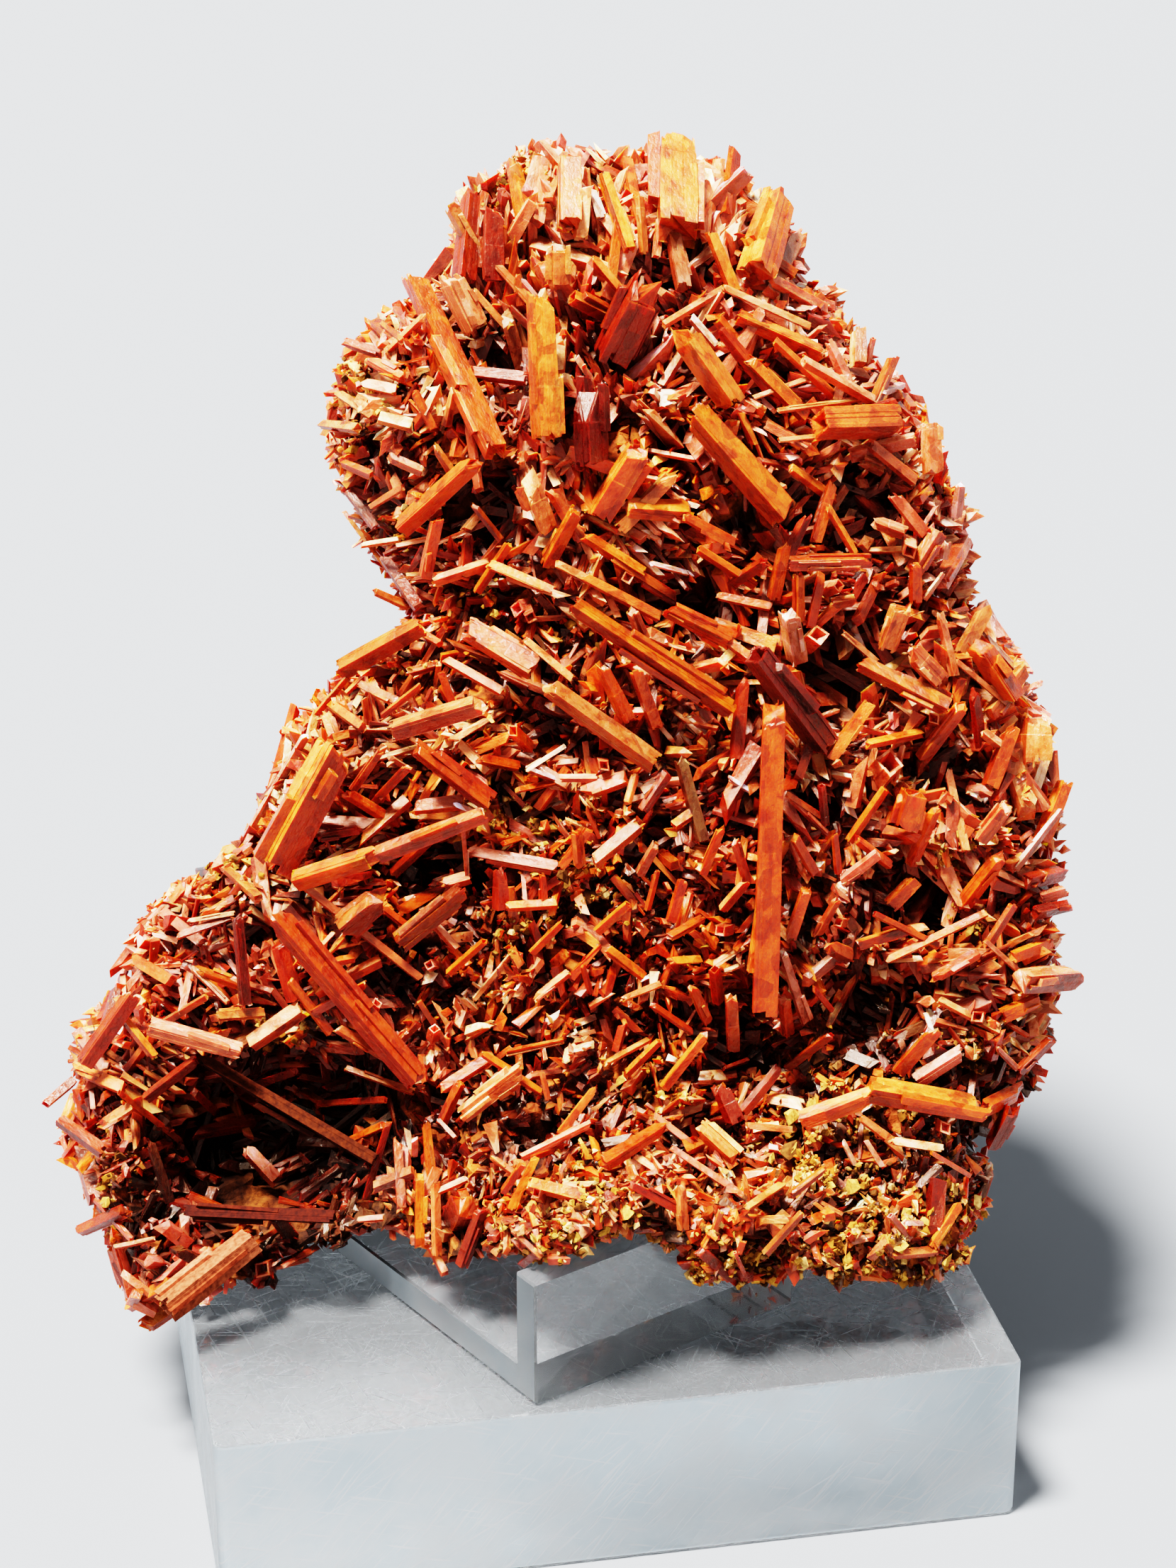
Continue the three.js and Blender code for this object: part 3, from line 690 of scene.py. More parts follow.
# The middle-sized crystals: u, v of the free end, u, v of the root, width, and the tint of those
# that aren't orange.
MEDIUM = [
    # crown
    (6.5, 141, 7, 134, 1.5, "p"), (9, 139, 8.5, 134, 1.2, "k"), (20.2, 144.5, 16, 140.5, 3, "w"),
    (0.5, 142, 1.5, 138.5, 1.5, "w"), (-0.5, 142, -1, 136, 2, "p"), (-7, 140.5, -9.5, 136, 2, "p"),
    (-12, 139, -12, 131, 3.5, "r"), (9.5, 125, 17, 129.5, 1, "a"), (17, 130, 28, 125, 1.1, "p"),
    (13, 126, 16, 122.5, 1.2, "w"), (19, 126, 29, 121.5, 2.5), (23, 131, 30, 127, 1.6, "p"),
    (18.5, 147, 17.5, 139, 2.4), (14.5, 143.5, 14, 136, 2.2, "p"), (5, 146, 6.5, 138, 1.8),
    (-9.5, 146, -8, 138, 2.6), (-5.5, 145.8, -6.5, 138, 2, "k"), (26.5, 137, 23, 129, 2.6, "p"),
    (10.5, 137.5, 12, 130, 2.4, "k"), (15.5, 136.5, 18.5, 129, 2), (-17.5, 140, -14, 134, 2, "p"),
    (-11.5, 132.5, -6.5, 127, 1.6, "p"), (0.5, 133.5, 5.5, 127.5, 1.5), (22, 127, 16.5, 118, 1.8, "k"),
    (19.5, 136, 26, 131.5, 1.5), (-2, 128.5, 3, 126, 2.2), (4, 140, 3, 131, 1.7),
    # upper right
    (21, 116, 31, 119.5, 0.8, "p"), (24, 114.3, 36, 116, 0.9, "p"), (32.5, 119, 31.5, 115.8, 1.6, "w"),
    (34, 124.5, 34, 120, 2, "p"), (36, 123.5, 35.3, 120.5, 0.8, "w"), (36, 118.5, 40, 119.2, 1, "p"),
    (37, 116.5, 39.5, 117.5, 1.2, "w"), (41, 117.5, 42.5, 115.5, 1.2, "k"),
    (42.5, 113, 44.7, 112.3, 1.5), (39, 114.5, 33, 112.5, 2.6, "r"), (24, 110.5, 39, 112, 0.8, "p"),
    (30, 123.5, 33, 117, 1.7, "k"), (27, 120.5, 37.5, 114.5, 1.4, "k"), (23.5, 123, 31, 116, 1.3),
    (38.5, 121, 36, 115, 1.6), (20, 121, 27.5, 113.5, 2), (41.5, 110.5, 33.5, 108.5, 2.2, "k"),
    (25.5, 107, 31, 103, 1.6), (28, 109.5, 22.5, 112.5, 1.4, "k"), (36, 110, 41.5, 105.5, 1.6, "k"),
    (16.5, 125, 23, 117, 1.6, "r"),
    # upper left
    (-15, 119.3, -8, 118.5, 2.2, "r"), (-14.5, 129, -10.5, 124.5, 1.2, "a"),
    (-9, 131.5, -8.5, 127.5, 1, "a"), (-31, 123, -26.5, 121.5, 1.8, "r"),
    (-29, 118, -24.5, 117, 1.8, "k"), (-31.5, 116.5, -27, 113.5, 1.6, "a"),
    (-28, 121, -23.5, 118.5, 1.5), (-27, 125.5, -23, 122.5, 1.7), (-24.5, 127.5, -21.5, 123, 1.6, "k"),
    (-33.5, 112.5, -29, 112, 1.5, "a"), (-31, 107.5, -27.5, 106, 1.3),
    (-26.5, 113.5, -22.5, 112.5, 2, "p"), (-22, 117, -19.5, 112, 1.3),
    (-25.5, 108.5, -21, 106.5, 1.2, "a"), (-30.5, 104, -27, 99.5, 1.4, "r"),
    (-19.5, 110, -16.5, 105.5, 1.2, "a"), (-22, 103.5, -18, 102.5, 1.2),
    (-27.5, 102, -23.5, 104.5, 1, "a"),
    # neck
    (-19, 100.5, -20.5, 93.5, 1.8), (-29, 97.2, -24, 98, 0.8, "p"), (-20, 92.5, -12.5, 95, 1.5, "a"),
    (-12.5, 95, -4.5, 91.5, 1.5), (-31.5, 82.5, -37, 76, 1.2), (-21, 80, -26, 76, 0.9),
    (-9.5, 74, -7.5, 72, 2), (-14.5, 102.5, -11, 98, 0.9), (-26, 96, -21.5, 89.5, 1.8, "r"),
    (-24, 88, -19, 85, 1.2), (-15, 99, -15.5, 93, 1.8, "r"), (-1.5, 101.5, -5, 95, 2.2),
    (-10, 97.5, -14, 91.5, 1.4), (0, 98.5, 7, 94, 1.8), (-28.5, 91, -24, 89, 1.1, "a"),
    (-5, 104.5, -1, 98, 1.6, "a"), (11, 106.5, 4, 99.5, 2.2, "a"), (3, 96, 11, 91, 1.6),
    # upper centre
    (14, 97, 21, 92.5, 1.3), (12, 101, 18.5, 97.5, 1.5), (8, 95, 13.5, 93.5, 1, "w"),
    (16, 91, 23, 89.5, 1.3), (5, 102, 12.5, 101.5, 3), (1.5, 82.5, 5, 75.5, 2), (6, 81.5, 8.5, 74.5, 2),
    (5.5, 89, 7, 85.5, 1.8, "p"), (30, 102.5, 33.5, 96.5, 1), (24.5, 98, 23, 91, 1.8),
    (26.5, 93.5, 26.5, 88, 1.8), (29.5, 94, 28, 87, 1.5, "r"), (31.5, 86.3, 36, 82.5, 0.9, "p"),
    (30.5, 90, 33.5, 90.5, 1.8, "k"), (19.6, 81, 18.6, 70.5, 1.8, "r"),
    (22.5, 95.5, 18, 92.5, 1.6, "r"), (13, 88.5, 20.5, 83, 1.5), (31, 105, 29, 98, 1.8),
    (-0.5, 93.5, 9, 88.5, 1.5), (27.5, 101, 24.5, 94.5, 1.7, "r"), (-4, 95, 3, 91.5, 1.3, "a"),
    # right
    (47, 105, 46.5, 101, 1.5, "w"), (34, 108, 37, 106.5, 2, "p"), (36, 100.5, 40, 99, 2, "k"),
    (45.5, 98, 45, 95.5, 1.2, "w"), (41.5, 95, 41.5, 90.5, 1.8), (45, 94, 42.5, 90.5, 1, "p"),
    (44.2, 89, 46.2, 81, 1.5, "k"), (46.5, 83, 53, 77.5, 1, "p"), (50, 86, 54.5, 81, 1.5, "p"),
    (48.5, 79, 49.5, 72, 1.8, "r"), (49.5, 74, 54, 70.5, 1.4, "p"), (42, 80, 45.5, 78, 1.5),
    (35, 72, 42, 73.5, 1.5), (45.2, 68.8, 47.5, 58.6, 1.4, "a"), (59.7, 64, 54, 56.6, 1.2, "w"),
    (59.5, 65.5, 60.2, 62.5, 1, "w"), (59.5, 56, 55, 55, 2.4, "r"), (61, 52, 56.5, 51, 2.2, "r"),
    (60.5, 54, 57, 53, 1.6, "k"), (37.5, 45, 50, 51, 1.4), (36, 51, 44, 47, 1, "r"),
    (50, 47.5, 55.5, 42.5, 0.9, "p"), (44.5, 40, 52, 36, 1.2, "p"), (42.5, 38.5, 43.5, 35.5, 0.8, "w"),
    (44, 36.5, 39, 31, 2.5), (51.5, 34, 54, 31.5, 0.8, "w"), (43, 42.5, 49, 46, 2), (41, 55, 38, 52, 2),
    (36.5, 58.5, 32, 55, 1.4, "k"), (33.5, 60.5, 38, 57, 1.3), (44.5, 99.5, 41, 94, 2.2),
    (38.5, 104, 42.5, 99, 2, "k"), (47.8, 98.5, 44.5, 92.5, 2, "k"), (50.5, 90, 47, 83.5, 2.2, "a"),
    (55.5, 82, 51, 76, 2.2, "a"), (53.5, 75, 50.5, 67, 2.4), (58, 72, 55.5, 65, 2, "p"),
    (60, 67.5, 57, 60, 2.4), (47, 77, 42, 70.5, 2), (44, 64, 41, 57, 1.8), (52, 58.5, 47, 52, 2),
    (58.5, 47.5, 53.5, 45.5, 1.8), (57, 40, 52.5, 38, 2), (58.5, 35, 54.5, 31, 2, "r"),
    (55, 29, 50, 26.5, 2.2), (56, 26, 53, 20.5, 2.4, "r"), (37.5, 66.5, 33, 60, 1.6),
    (35.5, 77.5, 30.5, 70.5, 1.8), (40.5, 49, 34, 47, 1.6), (47, 33.5, 41.5, 30, 1.8, "k"),
    (53.5, 52, 50, 46.5, 1.6),
    # centre
    (0.8, 57.5, 6.3, 62, 2, "a"), (5, 65, 6, 68.5, 1), (-1, 66, 4.5, 68, 2.5),
    (11.5, 71, 14.5, 60, 1.8, "b"), (17.5, 68.2, 20.5, 66.3, 0.7, "w"), (20, 55, 17, 51.5, 1.5, "a"),
    (10.2, 48, 14.3, 50.3, 1.3), (2.5, 46.5, 7, 43, 1.3), (13, 42, 15, 37.5, 1.8, "a"),
    (18, 41, 18.3, 34, 2, "p"), (24.5, 46, 27.3, 37.5, 1.5, "w"), (24.5, 40, 25, 35.5, 2, "k"),
    (8.8, 56.5, 7.5, 51.5, 0.9), (8.5, 59.5, 6.5, 56, 1.3, "k"), (14.5, 49, 16, 46.5, 0.9),
    (10.5, 45, 14, 45.2, 1.3), (16, 44, 16.5, 40, 1.8, "r"), (30, 47, 33, 45.5, 2),
    (28.5, 42, 31, 39, 0.9), (26, 60.5, 28.5, 56, 1.6), (25, 66, 29.5, 63, 1),
    (25.5, 65.5, 30, 61, 1, "k"), (29.5, 67, 30, 62, 1.2, "r"), (31, 61, 31.5, 56, 1),
    (10.8, 62, 13, 63.5, 1.5), (9, 35, 5, 31, 1.3), (2, 32, 7.5, 35, 0.9, "a"),
    (8, 39.5, 13, 36, 1, "r"), (4, 40, 9, 42, 1, "a"), (17, 62, 14.5, 56, 1.4),
    (10, 68.5, 7, 64, 1.4, "r"), (0, 61.5, -3.5, 57, 1.4), (12, 55, 10.5, 50, 1.5),
    (27.5, 54, 25.5, 48, 1.6), (31.5, 53, 29, 48.5, 1.4, "k"), (29, 75, 26.5, 68, 1.6, "r"),
    (18.5, 60, 20, 55, 1.3, "k"), (5, 52, 1, 48.5, 1.3), (-3, 50, -7, 46, 1.2),
    # left middle
    (-36, 54.6, -21.2, 42.8, 1.2, "a"), (-15.5, 59, -4, 57, 1.8, "k"),
    (-15.8, 62.3, -15.2, 55.8, 0.8, "w"), (-17, 64.8, -14.5, 63.8, 0.9, "w"), (-22, 64.3, -16, 65, 2.2),
    (-34, 44.5, -29.5, 45.3, 1), (-34.8, 45.5, -32, 48.5, 0.7), (-33.6, 44.8, -30.8, 47.8, 0.7, "a"),
    (-10.5, 51.8, -4, 52.2, 1.4), (-7, 40, -2.5, 43.5, 1.3, "a"), (-0.7, 44.5, 0.3, 41, 0.8),
    (-1.5, 62, -1, 57, 1.8), (-8, 68.8, -3, 72, 0.8, "p"), (-8, 68.8, -4.5, 67.5, 0.8, "w"),
    (-9, 66.5, -4, 67.5, 1), (-3.5, 68, 1, 68, 1, "p"), (-18.5, 54.5, -15, 55.5, 2),
    (-11, 57, -11, 51.5, 1.8, "r"), (-6, 56, -5.7, 52, 1.2), (-35.5, 73.5, -43, 60.5, 1.4, "w"),
    (-37.5, 73.5, -40.5, 68.5, 1.5, "p"), (-50.5, 50, -44.5, 51, 0.8, "p"), (-52, 48, -45, 50.5, 1.2),
    (-48, 40.5, -54.5, 36.5, 1.2, "a"), (-49.5, 44, -44, 42, 1.5), (-50, 44.5, -45.5, 40, 0.9, "a"),
    (-47, 38, -41, 38.5, 1.5, "a"), (-42.5, 34.5, -36, 39, 2.4, "a"), (-39, 47, -37, 40, 2, "r"),
    (-29, 80, -22.5, 77, 1.4, "a"), (-34, 78.5, -28.5, 74.5, 1.4), (-18, 83, -11, 79, 1.4),
    (-8, 85.5, -2, 80.5, 1.3, "a"), (-14, 70.5, -9, 69.5, 1.6, "r"), (-22.5, 69, -27, 64.5, 1.2),
    (-30.5, 66, -24, 62, 1.4), (-26, 71.5, -29.5, 66.5, 1.1, "a"), (-28.5, 61.5, -34, 60.5, 1.5, "r"),
    (-19, 61, -24.5, 56, 1.6, "r"), (-46, 57, -41.5, 53, 1.6, "a"),
    (-53.5, 51.5, -48.5, 47.5, 1.8, "k"), (-57.5, 45.5, -52.5, 42.5, 2), (-28, 42, -34.5, 38.5, 1.4),
    (-31.5, 36.5, -25.5, 33, 1.4, "a"), (-21, 51.5, -16.5, 46.5, 1.3, "k"),
    (-37.5, 42.5, -32.5, 36, 1.3), (-26, 52, -21.5, 48.5, 1.1, "r"), (-13, 47.5, -17.5, 43.5, 1.3),
    # lower left
    (-49, 32.5, -55.5, 27.5, 2, "r"), (-59, 28.5, -51.5, 22.5, 1.1), (-61.5, 24, -57.5, 26.5, 1.5),
    (-49.5, 28.5, -46.8, 26, 1.5), (-47, 24.8, -44.5, 25.5, 1.2), (-43.2, 21.6, -39.2, 17.3, 2.5, "k"),
    (-48, 12, -45.8, 10, 0.6, "w"), (-66, 20, -64, 13.5, 2.8, "r"), (-62, 15, -57.5, 10, 0.8),
    (-62, 9, -60.5, 4, 2.5, "k"), (-61.5, 6.5, -60, 1, 2.5, "k"), (-56, -3.5, -52.5, -1, 2.5, "a"),
    (-59.5, 9, -54.5, 10, 0.8, "p"), (-68.5, 27, -65, 30, 1.5, "r"), (-42, 5, -40, 0.5, 4, "b"),
    (-42.5, 9.5, -38.5, 12, 0.8), (-34, 27, -25.5, 27.5, 1), (-25, 25, -28, 15, 1.2, "r"),
    (-27, 16.5, -22, 18.5, 1.5, "a"), (-29.5, 12.5, -26, 12.8, 1), (-21.8, 22.6, -21.8, 20.6, 1.1, "w"),
    (-20.5, 25, -19.8, 18, 1.4), (-21.2, 18.5, -21.2, 9, 1.6), (-19.2, 17, -19, 8, 1.3, "a"),
    (-17, 8, -19.5, 2.5, 4), (-20, 15.5, -15.5, 17.5, 0.9, "a"), (-19.3, 25.5, -17, 23, 0.7, "a"),
    (-64.5, 31.5, -58.5, 29, 2), (-66.5, 25, -61, 21, 2.2, "r"), (-64, 11, -58.5, 13.5, 2, "r"),
    (-58, 1.5, -52.5, 4.5, 2), (-50.5, 3, -44, -0.5, 2, "b"), (-37, 10, -33.5, 5.5, 2, "b"),
    (-31.5, 21.5, -26, 24, 1.3), (-30.5, 31.5, -22, 28.5, 1.2), (-55, 22.5, -52.5, 15, 1.5, "b"),
    (-58.5, 38, -54.5, 33, 1.4), (-24, 22.5, -23.5, 14, 1.5, "r"), (-36.5, 31, -44, 28.5, 1.5, "r"),
    # lower middle and right
    (-19, 28.5, -12, 33, 1.5), (0, 24.8, -8.5, 20.6, 1, "k"), (-6.6, 20.5, -9.8, 13.9, 1.3),
    (-8.5, 19.5, -11, 16, 1), (-12.5, 20.5, -9, 18, 0.9), (-7.5, 17, -0.8, 15.3, 1.8),
    (-10, 11, -6, 7.3, 0.8), (-9, 8.2, -10.2, 6.8, 0.8, "k"), (-5.8, 31, -5, 27.5, 0.8, "a"),
    (10, 24.5, 2, 19.5, 2), (8.5, 25.5, 13, 22, 1.2, "k"), (13.5, 25, 18.5, 20.5, 3, "a"),
    (10.5, 21.5, 19.5, 15.5, 1.1), (11.3, 17, 11.7, 10.8, 1.7, "a"), (16.5, 29.5, 18.5, 25, 2.5, "r"),
    (20, 24.3, 25.5, 23.8, 1.1, "a"), (20, 14, 24.5, 17, 1.2, "a"), (16.8, 13.5, 16, 11, 1, "a"),
    (18.5, 8, 19.8, 5, 0.6, "p"), (33, 7, 34.8, 3.8, 1), (32, 22.5, 33.5, 19.5, 0.9, "w"),
    (34, 25.5, 38, 22.5, 1.3, "p"), (38, 22.5, 44.5, 21.5, 1.3, "p"), (35, 22.5, 37, 19.3, 0.9, "w"),
    (38, 13, 40.5, 10, 1, "w"), (39.8, 12, 42, 12, 0.8, "w"), (38.5, 8, 44, 8.5, 1.3, "a"),
    (41, 9, 42, 4, 1.6), (43.5, 21, 48.5, 18, 0.8), (-13.5, 33.5, -6, 28.5, 1.2),
    (-16, 30, -18.5, 24.5, 1.3), (-3, 35, -10, 33.5, 1.2, "a"), (1, 29.5, -3.5, 23.5, 1.3),
    (15, 36, 9.5, 29, 1.3), (24, 31.5, 19.5, 26, 1.4, "r"), (31, 36, 25, 31.5, 1.4, "r"),
    (5, 17, 11.5, 13.5, 1.3, "r"), (-13.5, 13.5, -16, 6.5, 1.7, "r"), (-4, 11.5, 1, 6.5, 1.5, "r"),
    (27, 13, 22.5, 8, 1.5, "a"), (47, 14.5, 43.5, 9, 1.4), (49.5, 9, 45.5, 4, 1.6),
    (30, 19, 25.5, 15.5, 1.2), (14, 8.5, 19, 4.5, 1.8, "r"), (25, 6, 29.5, 2.5, 1.6, "r"),
]

# Hollow ends that look out of the face: u, v and width.
HOLLOWS = [
    (14.6, 108, 2.0), (5, 93.2, 1.4), (29, 86, 2.3), (31.6, 92.2, 1.5), (38, 70, 3.6),
    (2, 69.6, 1.5), (16.6, 48.8, 1.4), (31.5, 49.9, 1.2), (-41, 6.2, 2.0), (-20, 44.5, 1.2),
    (-26.5, 39.7, 1.2), (-19.3, 36.5, 1.2), (-9, 89.3, 1.8), (-7.2, 88.2, 1.4), (45, 24, 1.6),
    (40.5, 96.5, 1.8), (43.5, 75.5, 1.5), (49, 38, 1.6), (-28, 22, 1.3), (-58, 36, 1.6),
]

# Patches of ochre: u, v and their reach in u and v.
OCHRES = [
    (-5, 145.5, 4, 2), (-27, 114, 3.5, 5), (-30, 119, 3, 3), (-13, 90.5, 5, 3.5), (-22, 84, 3, 2.5),
    (-1.5, 85, 3.5, 2.5), (-11, 64.5, 3.5, 3), (-7, 60.5, 3.5, 3), (-3, 57, 3.5, 2.5), (0, 51, 6, 3),
    (-11, 48, 4, 3), (-47, 56.5, 4, 2.5), (-42, 55, 3, 2), (-39, 36, 4, 3), (-33, 38, 4, 2),
    (46, 57, 3, 4), (48, 50, 3, 3), (32, 33, 5, 5), (26, 26, 5, 4), (24, 7, 5, 4), (33, 13, 5, 5),
    (45, 14, 4, 6), (16, 10, 4, 3), (-61.5, 12, 2.5, 3), (-52, 2, 3, 3), (-60, 19, 3, 3),
    (0, 20, 4, 3), (8, 29, 5, 3), (36, 4.5, 5, 2), (3, 13, 4, 3), (-24, 100, 3, 3),
    (20, 33, 4, 3), (40, 27, 4, 2.5), (-3, 100, 3, 2.5), (-16, 77, 3, 2), (-9, 144, 8, 4),
    (38, 8, 9, 5), (12, 9, 8, 4), (-6, 12, 6, 4), (48, 30, 5, 6), (30, 21, 8, 4),
]


FREE_LIFT, ROOT_LIFT = (1.2, 3.0), (-0.8, 0.6)  # how far above the plate their ends lie
HOLLOW_SHARE = 0.12  # of them


def medium_crystals():
    """The middle-sized crystals and the hollow ends, in one mesh."""
    heap = Heap()
    for u1, v1, u0, v0, width, *tint in MEDIUM:
        free = standing(u1, v1, rng.uniform(*FREE_LIFT))
        root, free = bedded(standing(u0, v0, rng.uniform(*ROOT_LIFT)), free, 0.2)
        roll = radians(rng.uniform(10, 50))
        flat = rng.uniform(0.6, 1.0)
        kind = "hollow" if rng.random() < HOLLOW_SHARE else None
        shade = varied(tint[0] if tint else "o")
        cluster(heap, root, free, width * SIDE, roll, shade, 3, flat, kind, 1)
    for u, v, width in HOLLOWS:
        lean = np.append(rng.normal(0, 0.3, 2), 1.0)
        free = standing(u, v, 1.0)
        turn = rng.uniform(0, pi / 2)
        crystal(heap, free - lean * width * 2, free, width, turn, varied("k"), 2, 1.0, "hollow")
    heap.make("medium_crystals", "crocoite_amber", CROCOITE)


medium_crystals()

# ---------------- the matrix
FINENESS = 1.1  # of the rock's faces
SUNK = {"front": 4.8, "back": 0.8, "pit": 3.5}  # how far it sinks under crystals, behind, in gaps
SUNK_SHARE = 0.3  # the most of its thickness that it may sink
LUMP_HEIGHT, LUMP_SIZE = 1.7, 4.5
LUMP_DETAIL = (0.6, 2.1, 4)  # roughness, how much finer each layer is, and layers
STAND_OUT = 0.4  # the most that a lump may stand out of the matrix solid
GAP = 5.0  # size of the gaps between the small crystals
WARM = (2.5, 0.8, 0.0)  # how much redder and lighter the rock is made where it faces out, outside the painted shade of cavities and gaps


def gap_of(points):
    """How far each point of the face frame is into a gap of the crust, 0 to 1."""
    return smooth(0.0, -0.35, field(points, GAP))


def thickness(co, normal):
    """How thick the matrix is behind each surface point, in mm; zero where it is a mere fin."""
    out = np.zeros(len(co))
    for i, (p, n) in enumerate(zip(co, normal)):
        start, way = Vector(p), -Vector(n)
        hit = matrix_tree.ray_cast(start + way * MM, way)[0]
        if hit is not None:
            out[i] = (hit - start).length / MM
    return out


def finer_matrix():
    """The matrix solid as a mesh of even small faces."""
    obj = added("matrix_rock", matrix_mesh.copy())
    finer = obj.modifiers.new("finer", "REMESH")
    finer.mode = "VOXEL"
    finer.voxel_size = FINENESS * MM
    evaluated = obj.evaluated_get(bpy.context.evaluated_depsgraph_get())
    made = bpy.data.meshes.new_from_object(evaluated)
    bpy.data.objects.remove(obj)
    made.name = "matrix_rock"
    made.materials.clear()
    return made


def substrate():
    """The matrix solid, sunk under the crystals and broken up, with painted shade in its cavities and
    gaps.
    """
    made = finer_matrix()
    co, normal = triples(made.vertices, "co"), triples(made.vertices, "normal")
    front = np.clip(normal @ np.array(OUT) + 0.5, 0, 1)
    at = to_face(co)
    pit = gap_of(at)
    deep = SUNK["pit"] * np.maximum(pit, shade_of(at))
    inset = SUNK["back"] + (SUNK["front"] + deep - SUNK["back"]) * front
    inset = np.minimum(inset, thickness(co, normal) * SUNK_SHARE)
    spacing = 1 / (LUMP_SIZE * MM)
    bumps = np.array([noise.fractal(Vector(p) * spacing, *LUMP_DETAIL) for p in co])
    co = co + normal * (np.minimum(bumps * LUMP_HEIGHT - inset, STAND_OUT) * MM)[:, None]
    made.vertices.foreach_set("co", co.ravel())
    # painted shade: the rock is darker in the cavities and in the gaps of the crust
    dark = np.maximum(0.85 * shade_of(at), 0.8 * pit)
    tints = np.ones(co.shape, np.float32)
    tints += np.outer(front * (1 - dark), WARM)
    tints *= 1 - (dark * front)[:, None]
    paint(made, tints)
    made.update()
    return made


rock_mesh = substrate()
piece("matrix_rock", rock_mesh, GOSSAN, ["matrix"])

# ---------------- the small crystals
# Where the crust changes: u, v, reach, length, width, share of them, tints, and the direction in
# u and v in which they mostly lie.
ZONES = [
    (4, 138, 16, 7.0, 1.5, 0.7, "pkpk", (0.1, 1.6)),
    (-8, 120, 10, 5.0, 1.0, 0.8, "okrp", (-0.5, 1.3)),
    (-30, 112, 8, 2.6, 1.1, 1.3, "opoa", (-1.0, 0.3)),
    (-22, 96, 9, 4.0, 0.9, 1.0, "oorp", (-0.8, -0.6)),
    (25, 118, 16, 5.5, 1.0, 0.9, "kkpo", (0.9, -0.5)),
    (38, 102, 10, 3.2, 1.2, 1.0, "okpr", (0.7, 0.5)),
    (10, 95, 14, 5.5, 1.1, 0.9, "oopa", (1.0, -0.6)),
    (40, 75, 14, 5.0, 1.2, 0.9, "oakp", (0.4, -0.5)),
    (56, 66, 6, 3.4, 1.2, 1.2, "oapk", (0.5, -0.9)),
    (50, 45, 10, 4.5, 1.0, 1.0, "orpa", (0.7, 0.3)),
    (0, 45, 18, 2.8, 0.75, 1.7, "oopr", (0.0, 0.0)),
    (24, 48, 12, 3.6, 0.9, 1.2, "oorp", (0.2, -0.8)),
    (-25, 70, 14, 5.5, 0.9, 1.1, "ooap", (-0.8, 0.4)),
    (-45, 48, 14, 5.0, 0.9, 1.1, "okra", (0.7, -0.5)),
    (-58, 27, 10, 4.2, 0.9, 1.1, "oorp", (0.8, -0.6)),
    (-55, 8, 10, 3.8, 1.2, 1.1, "orbk", (-0.4, -0.5)),
    # the cave: its deep red and brown tints are partly painted shade
    (-38, 20, 10, 5.0, 0.9, 0.6, "rbbo", (0.8, -0.5)),
    (-5, 18, 18, 2.6, 0.9, 1.6, "oapr", (0.0, 0.0)),
    (30, 12, 18, 2.2, 0.95, 1.6, "oapb", (0.3, 0.0)),
    (50, 20, 8, 3.2, 0.8, 1.2, "orbo", (0.3, -0.4)),
]
SPRAYS = 5000  # bundles of small crystals
MEMBERS = (0.2, 14)  # chance that a spray ends at each of its crystals, and the most it has
RISE = (-4, 12, 60)  # least, usual and most slope of a spray over the rock, in degrees
SPREADS, SPREAD_ODDS = (0.05, 0.2, 0.6), (0.35, 0.35, 0.3)  # how far its crystals splay
PROUD = 0.3  # how far a small crystal may stand out of the matrix solid
HUES = np.array([(0.45, 0.26, 0.3), (1, 1, 1), (1.1, 1.7, 2.2)])  # dark, plain and bright ones
CRUMB_HUES = np.array([(0.5, 0.35, 0.4), (1, 1, 1), (1.1, 1.8, 2.4)])


def samples(mesh, count):
    """Points spread over a mesh by area, with their normals, in the face frame."""
    mesh.calc_loop_triangles()
    corners = to_face(triples(mesh.vertices, "co"))[triples(mesh.loop_triangles, "vertices", np.int64)]
    cross = np.cross(corners[:, 1] - corners[:, 0], corners[:, 2] - corners[:, 0])
    area = np.linalg.norm(cross, axis=1)
    pick = rng.choice(len(area), count, p=area / area.sum())
    share = rng.random((count, 2))
    flip = share.sum(1) > 1
    share[flip] = 1 - share[flip]
    a, b, c = corners[pick].transpose(1, 0, 2)
    return a + (b - a) * share[:, :1] + (c - a) * share[:, 1:], cross[pick] / area[pick][:, None]


def zone_weights(points):
    """How much each zone counts at each point; the weights of a point sum to 1."""
    centres = np.array([zone[:3] for zone in ZONES], float)
    gap = np.linalg.norm(points[:, None, :2] - centres[None, :, :2], axis=2) / centres[:, 2]
    weight = np.exp(-(gap**2)) + 1e-6
    return weight / weight.sum(1, keepdims=True)


